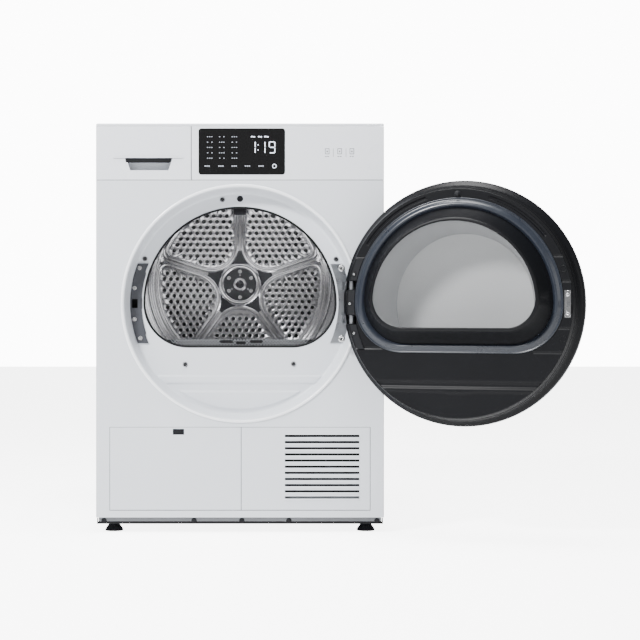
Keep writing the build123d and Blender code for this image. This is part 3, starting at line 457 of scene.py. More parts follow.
class DRYER_OT_stage(bpy.types.Operator):
    """Pale floor, white surroundings, soft studio lights and the camera"""
    bl_idname = "dryer.stage"
    bl_label = "Studio and camera"

    def execute(self, context):
        self.floor(context)
        self.surroundings(context)
        self.lights(context)
        self.camera(context)
        return {"FINISHED"}

    def floor(self, context):
        """Pale ground that looks white but sheds little light."""
        floor = bpy.data.meshes.new("studio_floor")
        floor.from_pydata([(-9, -9, 0), (9, -9, 0), (9, 9, 0), (-9, 9, 0)], [], [(0, 1, 2, 3)])
        paint = bpy.data.materials.new("studio_paper")
        paint.use_nodes = True
        shader = paint.node_tree.nodes["Principled BSDF"]
        shader.inputs["Base Color"].default_value = linear("#fbfbfb") + (1.0,)
        shader.inputs["Roughness"].default_value = 0.9
        shader.inputs["Emission Color"].default_value = (1, 1, 1, 1)
        self.two_levels(paint.node_tree, 0.3, 5.5, shader.inputs["Emission Strength"])
        floor.materials.append(paint)
        ground = bpy.data.objects.new("studio_floor", floor)
        context.scene.collection.objects.link(ground)

    def two_levels(self, tree, lighting, seen, target):
        """Gives a socket two levels: one for the light it sheds, another for how bright it looks."""
        path = node(tree, "ShaderNodeLightPath")
        level = node(tree, "ShaderNodeMapRange", {"To Min": lighting, "To Max": seen},
                     {"Value": path.outputs["Is Camera Ray"]})
        tree.links.new(level.outputs["Result"], target)

    def surroundings(self, context):
        """White world, brighter to the eye than the light it sheds."""
        world = bpy.data.worlds.new("studio_white")
        world.use_nodes = True
        tree = world.node_tree
        tree.nodes["Background"].inputs["Color"].default_value = (1, 1, 1, 1)
        self.two_levels(tree, 0.30, 12.0, tree.nodes["Background"].inputs["Strength"])
        context.scene.world = world

    def lights(self, context):
        """Round area lights: name, place, aim, size and power."""
        lights = (("key_softbox", (-1.7, -2.4, 2.5), (0, -0.2, 0.5), 0.6, 235),
                  ("fill_softbox", (2.4, -2.8, 1.0), (0.2, -0.2, 0.45), 1.8, 22),
                  ("top_softbox", (0.1, -0.5, 2.8), (0.1, -0.2, 0.4), 1.2, 95))
        for name, place, aim, size, power in lights:
            lamp = bpy.data.lights.new(name, "AREA")
            lamp.shape, lamp.size, lamp.energy = "DISK", size, power
            holder = bpy.data.objects.new(name, lamp)
            holder.location = place
            holder.rotation_euler = (Vector(aim) - Vector(place)).to_track_quat("-Z", "Y").to_euler()
            context.scene.collection.objects.link(holder)

    def camera(self, context):
        """Level camera whose view, at the front panel, is a square centred on one point of that plane."""
        sizes = context.scene.dryer_sizes
        view_width, middle_x, middle_z, sensor_mm = 1.3216, 0.1652, 0.4388, 36
        camera = bpy.data.cameras.new("camera")
        camera.sensor_width = sensor_mm
        camera.lens = sensor_mm * sizes.view_distance / view_width
        camera.shift_x = middle_x / view_width
        camera.shift_y = (middle_z - sizes.view_height) / view_width
        holder = bpy.data.objects.new("camera", camera)
        holder.location = (0, FRONT - sizes.view_distance, sizes.view_height)
        holder.rotation_euler = (math.pi / 2, 0, 0)
        context.scene.collection.objects.link(holder)
        context.scene.camera = holder


# CAD nodes that wear each finish
WEARS = {
    "melamine_laminate_white": ("top_panel",),
    "powder_coat_white": ("front_panel", "side_panel_left", "side_panel_right", "access_flap", "vent_grille"),
    "abs_white_satin": ("control_fascia", "drawer_front"),
    "acrylic_black": ("display_window",),
    "zinc_sheet_dull": ("kick_strip",),
    "galvanised_steel": ("back_panel", "rear_duct_cover", "rear_bearing_housing", "motor_rotor", "idler_arm"),
    "zinc_plate": ("fixed_screws", "hub_screws"),
    "zamak_satin": ("hinge_bracket",),
    "polypropylene_black": ("flap_latch", "switch_plunger", "drum_light", "cord_gland", "front_roller_left",
                            "front_roller_right", "idler_pulley", "lint_filter_frame", "hinge_cover",
                            "hinge_leaf", "foot_front_left", "foot_front_right", "foot_rear_left",
                            "foot_rear_right"),
    "polypropylene_slate": ("latch_cover",),
    "epdm_black": ("opening_gasket",),
    "felt_wool": ("drum_seals",),
    "polypropylene_grey": ("base_frame", "drum_front_support", "drum_lifters", "blower_wheel",
                           "blower_housing", "heat_exchanger_housing", "tank_guide"),
    "neoprene_belt": ("drum_belt",),
    "enamel_black": ("compressor",),
    "varnished_iron": ("motor_body",),
    "fin_aluminium": ("evaporator", "condenser"),
    "polypropylene_natural": ("tank_body", "tank_lid"),
    "polyester_mesh": ("lint_filter_mesh",),
    "chrome_plate": ("strike_plate",),
}


class DRYER_OT_cabinet(bpy.types.Operator):
    """Finishes of the cabinet and of everything that keeps its solid shape"""
    bl_idname = "dryer.cabinet"
    bl_label = "Cabinet finishes"

    def execute(self, context):
        for name, nodes in WEARS.items():
            dress(finish(name), nodes)
        dress(glass("glass_inner"), ("door_window_bowl",))
        return {"FINISHED"}


# Screws on the recess floor: x and height above the door's centre, mm
RECESS_SCREWS = ((-36.6, 216.3), (-198.2, 93.1), (200.3, 92.1), (-114.2, -127.3), (111.5, -126.3))


def recess_height(x, z, ridge):
    """How far the recess floor stands forward, in mm, at x, z from the recess centre: a pressed bar under
    the opening, a crescent below it that follows the rim, and a shallow seat round each screw."""
    bar = np.hypot(np.maximum(np.abs(x) - 167, 0), z + 159) - 8
    crescent = np.maximum(np.hypot(x, z) - 222, z + 183)
    rise = ridge * smooth_step(-bar / 2.6 + 0.5) + ridge * smooth_step(-crescent / 2.8 + 0.5)
    for sx, sz in RECESS_SCREWS:
        rise = rise - 0.7 * hump(np.hypot(x - sx, z - sz) / 9.5)
    return rise


OPENING = (200.7, 91.3, 92.0)  # radius, level edge below the centre and corner radius, mm
MOUTH_SHIFT = 5.6 * MM  # the strike's mouth lies this far outward of the latch cover's middle


def mouth_x():
    """Middle of the strike's mouth."""
    return float(centre("latch_cover")[0]) - MOUTH_SHIFT


class DRYER_OT_recess(bpy.types.Operator):
    """Pressed dish round the drum opening, with its trim ring and rubber bead"""
    bl_idname = "dryer.recess"
    bl_label = "Door recess"

    def execute(self, context):
        sizes = context.scene.dryer_sizes
        a = np.linspace(0, TURN, 721)
        self.dish(a, sizes.ridge / MM)
        self.trim(sizes.trim / MM)
        self.bead(a)
        return {"FINISHED"}

    def dish(self, a, ridge):
        """Turned-in edge of the opening, flat floor with its pressings, sloping wall and rolled lip, less the
        cells where the strike passes."""
        f, front = FLOOR_Y / MM, FRONT / MM
        inner = d_reach(a, *OPENING)[:, None]
        t = np.linspace(0, 1, 64)
        floor_r = inner * (1 - t) + 226.5 * t
        x, z = floor_r * np.cos(a)[:, None], floor_r * np.sin(a)[:, None]
        floor_y = f - recess_height(x, z, ridge)
        edge_r = inner + np.array([0.0, 0.0, 0.6])
        edge_y = np.broadcast_to([f + 2.4, f + 0.9, f + 0.3], edge_r.shape)
        wall = np.array([(229.2, f - 0.9), (231.0, f - 3.6), (232.2, front + 29.5), (233.4, front + 24),
                         (234.6, front + 18.5), (236.0, front + 12), (237.7, front + 4.5),
                         (238.6, front + 0.6), (239.3, front - 1.6), (240.9, front - 2.7),
                         (243.2, front - 2.9), (245.4, front - 2.4), (246.4, front - 1.4),
                         (246.2, front - 0.1)])
        wall_r, wall_y = (np.broadcast_to(wall[:, k], (len(a), len(wall))) for k in (0, 1))
        r, y = np.concatenate([edge_r, floor_r, wall_r], 1), np.concatenate([edge_y, floor_y, wall_y], 1)
        points, faces = polar(r, y, a).reshape(-1, 3), quads(*r.shape)
        mid = points[faces].mean(1)
        mouth = (np.abs(mid[:, 0] - mouth_x()) < 11.8 * MM) & (np.abs(mid[:, 2] - DOOR_Z) < 11.0 * MM)
        piece("recess_dish", [(points, faces[~mouth])], finish("powder_coat_white"), "cabinet",
              ["door_recess_panel"], toward=FORWARD, sharp=50)

    def trim(self, wide):
        """Half-round ring standing on the rolled edge, in the brightest white as a painted highlight of the
        lip.
        """
        u = np.linspace(0, math.pi, 13)
        profile = np.stack([243.6 + wide / 2 * np.cos(u), FRONT / MM - 1.4 - 2.3 * np.sin(u)], 1)
        # The ring's brighter white is a painted highlight of the rolled lip
        piece("recess_trim", [turned(profile, 0, DOOR_Z)], finish("abs_white_gloss"), "cabinet",
              toward=FORWARD, sharp=60)

    def bead(self, a):
        """Rubber bead: each profile point is an offset outward from the opening's edge, and a height."""
        f = FLOOR_Y / MM
        profile = [(-3.4, f + 2.6), (-3.6, f + 0.6), (-3.0, f - 0.7), (-1.6, f - 1.2), (0.0, f - 1.1),
                   (0.9, f - 0.5), (1.1, f + 0.2)]
        r = np.stack([d_reach(a, *(size + off for size in OPENING)) for off, _ in profile], 1)
        y = np.broadcast_to([high for _, high in profile], r.shape)
        piece("opening_bead", [polar(r, y, a)], finish("epdm_black"), "cabinet",
              toward=FORWARD, sharp=60)


PETALS = np.radians([54, 126, 198, 270, 342])
PETAL_R = 128  # distance of each petal's middle from the hub, mm


def soft_max(a, b, k):
    """Greater of two distances, rounded where they meet over a width k."""
    h = np.clip(0.5 + 0.5 * (a - b) / k, 0, 1)
    return b + (a - b) * h + k * h * (1 - h)


def petal_edge(x, z, half):
    """Signed distance in mm outside the petal that holds x, z: bounded by two spokes, an outer circle and a
    straight edge facing the hub, with rounded corners."""
    r = np.hypot(x, z)
    turn = (np.degrees(np.arctan2(z, x)) - 54 + 36) % 72 - 36
    off = r * np.sin(np.radians(36 - np.abs(turn)))
    side = np.where(np.abs(turn) <= 36, half - off, half)
    return soft_max(soft_max(side, r - 184, 22), 59.5 - r * np.cos(np.radians(turn)), 26)


def reach(test, a, cx, cz, far=190.0):
    """Distance along each angle a from cx, cz to where test(x, z) first turns positive: a march, then
    halving."""
    marks = np.linspace(0, far, 96)
    past = np.stack([test(cx + d * np.cos(a), cz + d * np.sin(a)) >= 0 for d in marks])
    first = np.where(past.any(0), past.argmax(0), len(marks) - 1)
    low, high = marks[np.maximum(first - 1, 0)], marks[first]
    for _ in range(20):
        mid = (low + high) / 2
        inside = test(cx + mid * np.cos(a), cz + mid * np.sin(a)) < 0
        low, high = np.where(inside, mid, low), np.where(inside, high, mid)
    return (low + high) / 2


RIB = 11.5  # width of the rib round each petal, mm


def star_rise(x, z, half):
    """How far the drum's back stands forward, in mm: a rounded rib round each petal, a shallow valley between
    two ribs, a rounded band beyond the petals and a bright bead outside it."""
    r = np.hypot(x, z)
    s = petal_edge(x, z, half)
    rib = 5.0 * np.sqrt(np.clip(1 - ((s - RIB / 2) / (RIB / 2)) ** 2, 0, 1))
    band = 3.6 * hump((r - 197) / 9)
    bead = 6.4 * hump((r - 209) / 5.5)
    return np.maximum(rib, band) + bead - 3.0 * smooth_step((r - 216) / 10) * (r > 216)


class DRYER_OT_drum(bpy.types.Operator):
    """Drum wall, its pressed and perforated back, and the hub"""
    bl_idname = "dryer.drum"
    bl_label = "Drum"

    def execute(self, context):
        sizes = context.scene.dryer_sizes
        steel = finish("stainless_bright")
        y0, y1 = DRUM_Y0 / MM, DRUM_Y1 / MM
        along = np.linspace(y0 + 6, y1 - 3, 90)
        ribs = 264.0 - 1.6 * hump(((along - y0) % 64 - 32) / 7)
        lip = [(251, y0 + 1.6), (251, y0 + 0.2), (253, y0), (262.6, y0), (264.8, y0 + 1.6), (265, y0 + 4)]
        outside = [(265, y) for y in np.linspace(y0 + 10, y1 - 1, 8)]
        outside += [(263, y1), (259.2, y1), (259.2, y1 - 1)]
        inside = list(zip(ribs[::-1], along[::-1])) + [(262.6, y0 + 1.7), (251, y0 + 1.6)]
        profile = lip + outside + inside
        piece("drum_wall", [turned(profile, 0, DRUM_Z)], steel, "drum", ["drum_shell"],
              sharp=40)

        half = sizes.spoke / MM / 2
        wall = float(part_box("drum_rear_wall")[1][1]) / MM - 1.2
        ribs, field, star = [], [], []
        for petal in PETALS:
            cx, cz = PETAL_R * math.cos(petal), PETAL_R * math.sin(petal)
            a = petal + np.linspace(0, TURN, 241)

            def beyond(x, z):
                turn = (np.degrees(np.arctan2(z, x) - petal) + 180) % 360 - 180
                r = np.hypot(x, z)
                return np.maximum.reduce([np.abs(turn) - 36, r - 263.2, 38 - r])

            near = reach(lambda x, z: petal_edge(x, z, half), a, cx, cz)
            far = reach(beyond, a, cx, cz)
            foot = np.minimum(reach(lambda x, z: petal_edge(x, z, half) - RIB, a, cx, cz), far)
            for start, end, steps, sheet in ((near, foot, 15, ribs), (foot, far, 34, field)):
                d = start[:, None] + (end - start)[:, None] * np.linspace(0, 1, steps)
                x, z = cx + d * np.cos(a)[:, None], cz + d * np.sin(a)[:, None]
                y = wall - star_rise(x, z, half)
                sheet.append(np.stack([x * MM, y * MM, DRUM_Z + z * MM], -1))
        for grid in field:
            p, f = grid.reshape(-1, 3), quads(*grid.shape[:2])
            mid = p[f].mean(1)
            dark = np.hypot(mid[:, 0], mid[:, 2] - DRUM_Z) < 78 * MM
            ribs.append((p, f[~dark]))
            star.append((p, f[dark]))
        piece("drum_back_star", ribs, steel, "drum", ["drum_rear_wall"], FORWARD, sharp=60)
        piece("drum_back_recess", star, finish("cast_disc_grey"), "drum", toward=FORWARD)
        self.air_holes(sizes, steel, half, wall)
        self.hub(y1)
        return {"FINISHED"}

    def air_holes(self, sizes, steel, half, wall):
        """Six-sided cells on a triangular grid, each with a turned-in round hole. The outer corners of edge
        cells move out from the petal's centre to lie under its rib."""
        pitch, hole = sizes.pitch / MM, sizes.hole / MM
        i, j = np.meshgrid(np.arange(-18, 19), np.arange(-18, 19))
        x, z = ((i + 0.5 * (j % 2)) * pitch).ravel(), (j * pitch * math.sqrt(3) / 2).ravel()

        def clear(px, pz):
            return (petal_edge(px, pz, half) < -hole - 0.8) & (np.hypot(px, pz) < 182)

        keep = clear(x, z)
        x, z = x[keep], z[keep]
        a = np.radians(np.arange(0, 360, 15.0))
        side = (np.degrees(a) + 30) % 60 - 30
        hexa = pitch / 2 / np.cos(np.radians(side))
        hx, hz = x[:, None] + hexa * np.cos(a), z[:, None] + hexa * np.sin(a)
        loose = np.zeros(hx.shape, bool)
        for k in range(6):
            n = math.radians(60 * k)
            missing = ~clear(x + pitch * math.cos(n), z + pitch * math.sin(n))
            touch = np.abs((np.degrees(a) - 60 * k + 180) % 360 - 180) < 30.5
            loose |= missing[:, None] & touch[None, :]
        which = PETALS[np.argmax(np.cos(np.arctan2(z, x)[:, None] - PETALS), 1)]
        cx, cz = (PETAL_R * np.cos(which))[:, None], (PETAL_R * np.sin(which))[:, None]
        way = np.arctan2(hz - cz, hx - cx)
        far = np.zeros_like(hx)
        for petal in PETALS:
            mine = which == petal
            far[mine] = reach(lambda px, pz: petal_edge(px, pz, half) - 1.2, way[mine],
                              PETAL_R * math.cos(petal), PETAL_R * math.sin(petal))
        hx = np.where(loose, cx + far * np.cos(way), hx)
        hz = np.where(loose, cz + far * np.sin(way), hz)
        rings = [(None, 0.0), (hole + 1.7, 0.0), (hole + 1.0, -0.75), (hole + 0.4, -0.7), (hole, -0.1),
                 (hole - 0.1, 1.1)]
        layers = []
        for r, back in rings:
            px, pz = (hx, hz) if r is None else (x[:, None] + r * np.cos(a), z[:, None] + r * np.sin(a))
            layers.append(np.stack([px * MM, np.full_like(px, (wall + back) * MM), DRUM_Z + pz * MM], -1))
        grid = np.stack(layers, 1)
        one = quads(len(rings), len(a), close_cols=True)
        count = len(rings) * len(a)
        faces = (one[None] + (np.arange(len(x)) * count)[:, None, None]).reshape(-1, 4)
        piece("drum_air_holes", [(grid.reshape(-1, 3), faces)], steel, "drum",
              toward=FORWARD, sharp=50)

    def hub(self, y1):
        """Pressed ring and its stub, the boss and plug in the middle, the dark disc and three rivets."""
        y = y1 - 2.65
        ring = rounded([(36.6, y - 7.8), (37.2, y - 13.0), (41, y - 14.6), (47, y - 13.8), (49.6, y - 8),
                        (50.6, y), (12, y), (12, y1 + 54), (0.01, y1 + 56)], 2.2)
        piece("hub_ring", [turned(ring, 0, DRUM_Z, 128)], finish("stainless_polished"), "drum",
              ["drum_hub"], sharp=40)
        boss = rounded([(8.4, y - 10.2), (9.0, y - 13.2), (11.4, y - 13.8), (14.8, y - 13.0),
                        (16.4, y - 8.2)], 1.0)
        plug = rounded([(0.01, y - 10.6), (3.4, y - 10.6), (4.2, y - 12.2), (6.4, y - 12.4), (7.2, y - 10.6),
                        (8.9, y - 10.1)], 0.7)
        disc = rounded([(0.01, y - 8.6), (15, y - 8.6), (16.4, y - 8.4), (17.5, y - 8.3), (22, y - 8.3),
                        (36.2, y - 8.3), (36.8, y - 7.8), (36.8, y - 4)], 1.4)
        for name, profile, steps, metal in (("hub_boss", boss, 96, "stainless_polished"),
                                            ("hub_plug", plug, 64, "cast_disc_grey"),
                                            ("hub_disc", disc, 128, "cast_disc_grey")):
            piece(name, [turned(profile, 0, DRUM_Z, steps)], finish(metal), "drum",
                  toward=FORWARD, sharp=40)
        cap = rounded([(0.01, y - 10.2), (1.6, y - 10.2), (2.4, y - 8.0)], 0.8)
        around = np.radians([90, 210, 330])
        studs = [turned(cap, 21.3 * math.cos(a) * MM, DRUM_Z + 21.3 * math.sin(a) * MM, 20) for a in around]
        piece("hub_rivets", studs, finish("stainless_bright"), "drum", toward=FORWARD)


def door_face(x, z):
    """How far the door's inner face sinks, in mm: a long groove and a shallow crescent under the opening,
    two arcs near the rim, and short level lines at the hinge and latch sides."""
    r = np.hypot(x, z)
    deg = np.degrees(np.arctan2(z, x))
    groove = np.hypot(np.maximum(np.abs(x) - 166, 0), z + 162) - 5.5
    sink = 3.2 * smooth_step(-groove / 7.0 + 0.5)
    for lo, hi in ((107, 143), (33, 73)):
        ends = np.maximum(lo - deg, deg - hi)
        arc = np.maximum(np.abs(r - 220.5) - 2.6, ends * 3.8)
        sink = sink + 2.4 * smooth_step(-arc / 2.0 + 0.5)
    lower = np.maximum(np.abs(r - 205) - 26, z + 176)
    for side, lines in ((-1, (94.0, 44.5, -48.0, -96.0)), (1, (94.0, -90.0))):
        for line in lines:
            sink = sink + 1.3 * hump((z - line) / 2.6) * (x * side > 150)
    return sink + 1.2 * smooth_step(-lower / 4 + 0.5)


class DRYER_OT_door(bpy.types.Operator):
    """Door liner with its deep window surround, seal, tinted pane, lining and outer ring"""
    bl_idname = "dryer.door"
    bl_label = "Door"

    def execute(self, context):
        f = FACE_Y / MM
        a = np.linspace(0, TURN, 961)
        self.liner(f, a)
        self.seal(f, a)
        back = f - 69
        self.shell(back)
        self.lining(f, back, a)
        return {"FINISHED"}

    def liner(self, f, a):
        """Window surround, inner face and stepped rim in one skin, less the cells where the two hinge arms
        pass. The surround's rows are the radius, level edge, corner and height of a rounded D."""
        surround = [(164, 47, 58, f + 40.5), (164, 47, 58, f + 43.4), (165, 48, 59, f + 44.2),
                    (168, 51, 62, f + 44.2), (170.2, 53.4, 64, f + 43.2), (171.6, 55.2, 65.5, f + 40.5),
                    (174.5, 59.5, 69, f + 34), (179.5, 66, 74.5, f + 24), (185, 73.2, 80.5, f + 13),
                    (189.4, 79, 85.2, f + 5.5), (192.0, 82.2, 88, f + 2.2), (195.5, 85.4, 90, f + 0.6),
                    (199, 88, 91.5, f), (204, 91, 92, f), (212.5, 99.5, 98, f)]
        radii = [d_reach(a, *size) for *size, _ in surround]
        heights = [np.full_like(a, y) for *_, y in surround]
        last = radii[-1]
        for t in np.linspace(0, 1, 56)[1:]:
            r = last * (1 - t) + 229.0 * t
            radii.append(r)
            heights.append(f - door_face(r * np.cos(a), r * np.sin(a)))
        rim = rounded([(229, f), (230.2, f - 1.2), (230.6, f - 6), (231.4, f - 8), (232.4, f - 14),
                       (234.4, f - 16.5), (235.4, f - 26), (236.6, f - 31), (241, f - 35.5), (245.5, f - 39),
                       (247.6, f - 42.6), (244.2, f - 43)], 1.6, 4)
        for r, y in rim[1:]:
            radii.append(np.full_like(a, r))
            heights.append(np.full_like(a, y))
        grid = polar(np.stack(radii, 1), np.stack(heights, 1), a)
        points, faces = grid.reshape(-1, 3), quads(*grid.shape[:2])
        mid = points[faces].mean(1)
        arms = np.zeros(len(faces), bool)
        for z in (0.440, 0.510):
            arms |= (np.abs(mid[:, 2] - z) < 10 * MM) & (mid[:, 0] > HINGE_X)
        piece("door_liner", [opened((points, faces[~arms]))], finish("abs_door_liner"), "door",
              ["door_inner_frame"], toward=FORWARD, sharp=45)

    def seal(self, f, a):
        """Rubber lip: how far each row lies inside the D's radius, level edge and corner, and its height."""
        rows = np.array([(0, 0, 0, 0.0), (0.1, 0.1, 0.1, 1.6), (0.8, 0.8, 0.8, 2.3), (1.7, 1.7, 1.7, 2.2),
                         (2.6, 2.6, 2.6, 1.2), (4.2, 4.2, 4.2, 1.0), (6.5, 6.5, 6.5, 2.4), (9, 8.8, 8.6, 4.6),
                         (11.5, 11.0, 10.4, 6.1), (13.8, 12.8, 11.8, 6.7), (16, 14.6, 12.6, 6.2),
                         (18.2, 16.2, 12.8, 4.6), (20, 17.6, 12.8, 2.4), (21.4, 18.6, 12.8, 0.8),
                         (22.4, 19.4, 12.8, 0.0)])
        r = np.stack([d_reach(a, 211.7 - i, 98.6 - c, 98 - k) for i, c, k, _ in rows], 1)
        y = np.broadcast_to(f + rows[:, 3], r.shape)
        piece("door_seal", [opened(polar(r, y, a))], finish("epdm_blue_grey"), "door",
              ["door_gasket"], toward=FORWARD, sharp=70)

    def shell(self, back):
        """Outer ring with its rolled edges, and the tinted pane it holds."""
        edge = FRONT / MM - 13
        ring = rounded([(244.5, edge), (248, edge), (248, edge - 9), (243.5, edge - 18.5), (232, back + 0.3),
                        (190, back - 2.4), (173.5, back - 3), (172, back - 1.5), (172, back + 0.5),
                        (190, back + 1), (229, back + 4), (239.5, edge - 15.5), (244.5, edge - 8),
                        (244.5, edge)], 4.0, 6)
        piece("door_bezel", [opened(turned(ring, 0, DOOR_Z))], finish("lacquer_silver_grey"), "door",
              ["door_outer_ring"], sharp=50)
        pane = rounded([(0.01, back - 8), (60, back - 7.6), (120, back - 6), (165, back - 3.2),
                        (171.6, back - 2.6), (171.6, back + 0.3), (160, back - 0.4), (90, back - 4),
                        (0.01, back - 5)], 1.5)
        piece("door_porthole", [opened(turned(pane, 0, DOOR_Z))], glass("glass_tinted"), "door",
              ["door_outer_window"], sharp=50)

    def lining(self, f, back, a):
        """Grey skin from the window surround out to the ring, behind the pane."""
        mix = np.linspace(0, 1, 12)
        slope = d_reach(a, 166, 49, 60)[:, None] * (1 - mix) + 141 * mix
        r = np.concatenate([slope, np.broadcast_to([150, 170.5], (len(a), 2))], 1)
        y = np.concatenate([(f + 39) * (1 - mix) + (back + 2) * mix, [back + 3.0, back + 3.4]])
        grid = polar(r, np.broadcast_to(y, r.shape), a)
        piece("door_lining", [opened(grid)], finish("lining_grey"), "door", toward=FORWARD)


SEGMENTS = {"1": "bc", "9": "abcdfg"}


def digit_bars(shape, x, z, wide, high, thick):
    """Boxes in mm (x0, x1, z0, z1) of a seven-bar digit with its lower left corner at x, z."""
    mid = z + high / 2
    g = thick + 0.3
    bars = {"a": (x + g, x + wide - g, z + high - thick, z + high),
            "g": (x + g, x + wide - g, mid - thick / 2, mid + thick / 2),
            "d": (x + g, x + wide - g, z, z + thick),
            "f": (x, x + thick, mid + g / 2, z + high - g / 2),
            "e": (x, x + thick, z + g / 2, mid - g / 2),
            "b": (x + wide - thick, x + wide, mid + g / 2, z + high - g / 2),
            "c": (x + wide - thick, x + wide, z + g / 2, mid - g / 2)}
    return [bars[k] for k in SEGMENTS[shape]]


class DRYER_OT_display(bpy.types.Operator):
    """Lit time, indicator marks and printed signs on the control band"""
    bl_idname = "dryer.display"
    bl_label = "Display"

    def execute(self, context):
        light = tuple(context.scene.dryer_colours.marks)
        face = float(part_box("display_window")[0][1]) / MM
        lit = glow("display_light", light, 1.3)
        bright = []
        for digit, x, wide in (("1", 25.4, 7), ("1", 45.4, 7), ("9", 59.6, 13.2)):
            bright += digit_bars(digit, x, 783, wide, 24.5, 1.8)
        bright += [(36.6, 38.4, 789, 790.8), (36.6, 38.4, 799.5, 801.3)]
        for x, w in ((26.8, 8), (41.3, 8), (54.5, 9)):
            bright += [(x - w / 2, x - 0.6, 816.2, 818.6), (x + 0.4, x + w / 2, 815.9, 818.2)]
        self.print_boxes("display_digits", bright, face, lit, 0.25)
        dim = []
        for col, x in enumerate((-62.0, -37.2, -11.2)):
            for row, z in enumerate((817.2, 806.0, 795.1, 783.9, 772.9)):
                for k in (0, 2) if (row + col) % 2 else (0, 1, 2):
                    dim.append((x - 6 + 4.4 * k, x - 3.6 + 4.4 * k, z - 0.75, z + 0.75))
        for x in (-67.5, -39.2, -11.6, 15.7, 43.8):
            for k in range(3):
                dim.append((x - 5.6 + 4.0 * k, x - 2.9 + 4.0 * k, 755.4, 757.9))
        faint = glow("display_print", tuple(0.4 * c for c in light), 0.30)
        self.print_boxes("display_labels", dim, face, faint, 0.2)
        ring = rounded([(3.3, face), (3.3, face - 0.25), (4.4, face - 0.25), (4.4, face)], 0.1, 3)
        piece("display_start_ring", [turned(ring, 71 * MM, 0.7566, 48)], lit, "cabinet",
              toward=FORWARD)
        signs = []
        for x in (180.0, 205.8, 231.0):
            signs += [(x - 4.6, x + 4.6, 781.2, 782.4), (x - 4.6, x + 4.6, 792.0, 793.2),
                      (x - 4.6, x - 3.4, 782.4, 792.0), (x + 3.4, x + 4.6, 782.4, 792.0),
                      (x - 1.4, x + 1.4, 785.4, 788.6), (x - 4.4, x - 1.2, 775.8, 777.4),
                      (x + 0.2, x + 3.8, 775.8, 777.4)]
        signs += [(192.3, 193.1, 775.6, 793.0), (218.5, 219.3, 775.6, 793.0)]
        self.print_boxes("band_signs", signs, FRONT / MM, finish("print_grey"), 0.12)
        return {"FINISHED"}

    def print_boxes(self, name, boxes, face, material, high):
        """Thin raised print: one rounded box for each mark."""
        sheets = [rounded_box((x0 * MM, (face - high) * MM, z0 * MM), (x1 * MM, (face + 0.05) * MM, z1 * MM),
                              min(0.35 * high, 0.05) * MM, 2) for x0, x1, z0, z1 in boxes]
        piece(name, sheets, material, "cabinet", merge=0.002 * MM)


def plate(outline, y0, y1, bevel):
    """Closed plate from an outline of points in mm: a wall from y0 to y1, a bevelled edge drawn in towards
    the outline's centre, and a flat face at y1."""
    p = np.asarray(outline, float)
    mid = p.mean(0)
    inner = mid + (p - mid) * (1 - bevel / np.linalg.norm(p - mid, axis=1, keepdims=True))
    drop = math.copysign(bevel, y0 - y1)
    shoulder = p * 0.3 + inner * 0.7
    rows = [(p, y0), (p, y1 + drop), (shoulder, y1 + drop * 0.3), (inner, y1)]
    points = np.concatenate([np.insert(q, 1, y, axis=1) for q, y in rows]) * MM
    faces = quads(len(rows), len(p), close_cols=True).tolist()
    faces += [list(range(len(p))), [len(points) - 1 - k for k in range(len(p))]]
    return points, faces


def stadium(x, z, wide, high, corner, steps=6):
    """Corner points of a rounded rectangle, in mm."""
    out = []
    for k, (sx, sz) in enumerate(((1, 1), (-1, 1), (-1, -1), (1, -1))):
        for t in np.linspace(0, math.pi / 2, steps) + k * math.pi / 2:
            out.append((x + sx * (wide / 2 - corner) + corner * math.cos(t),
                        z + sz * (high / 2 - corner) + corner * math.sin(t)))
    return out


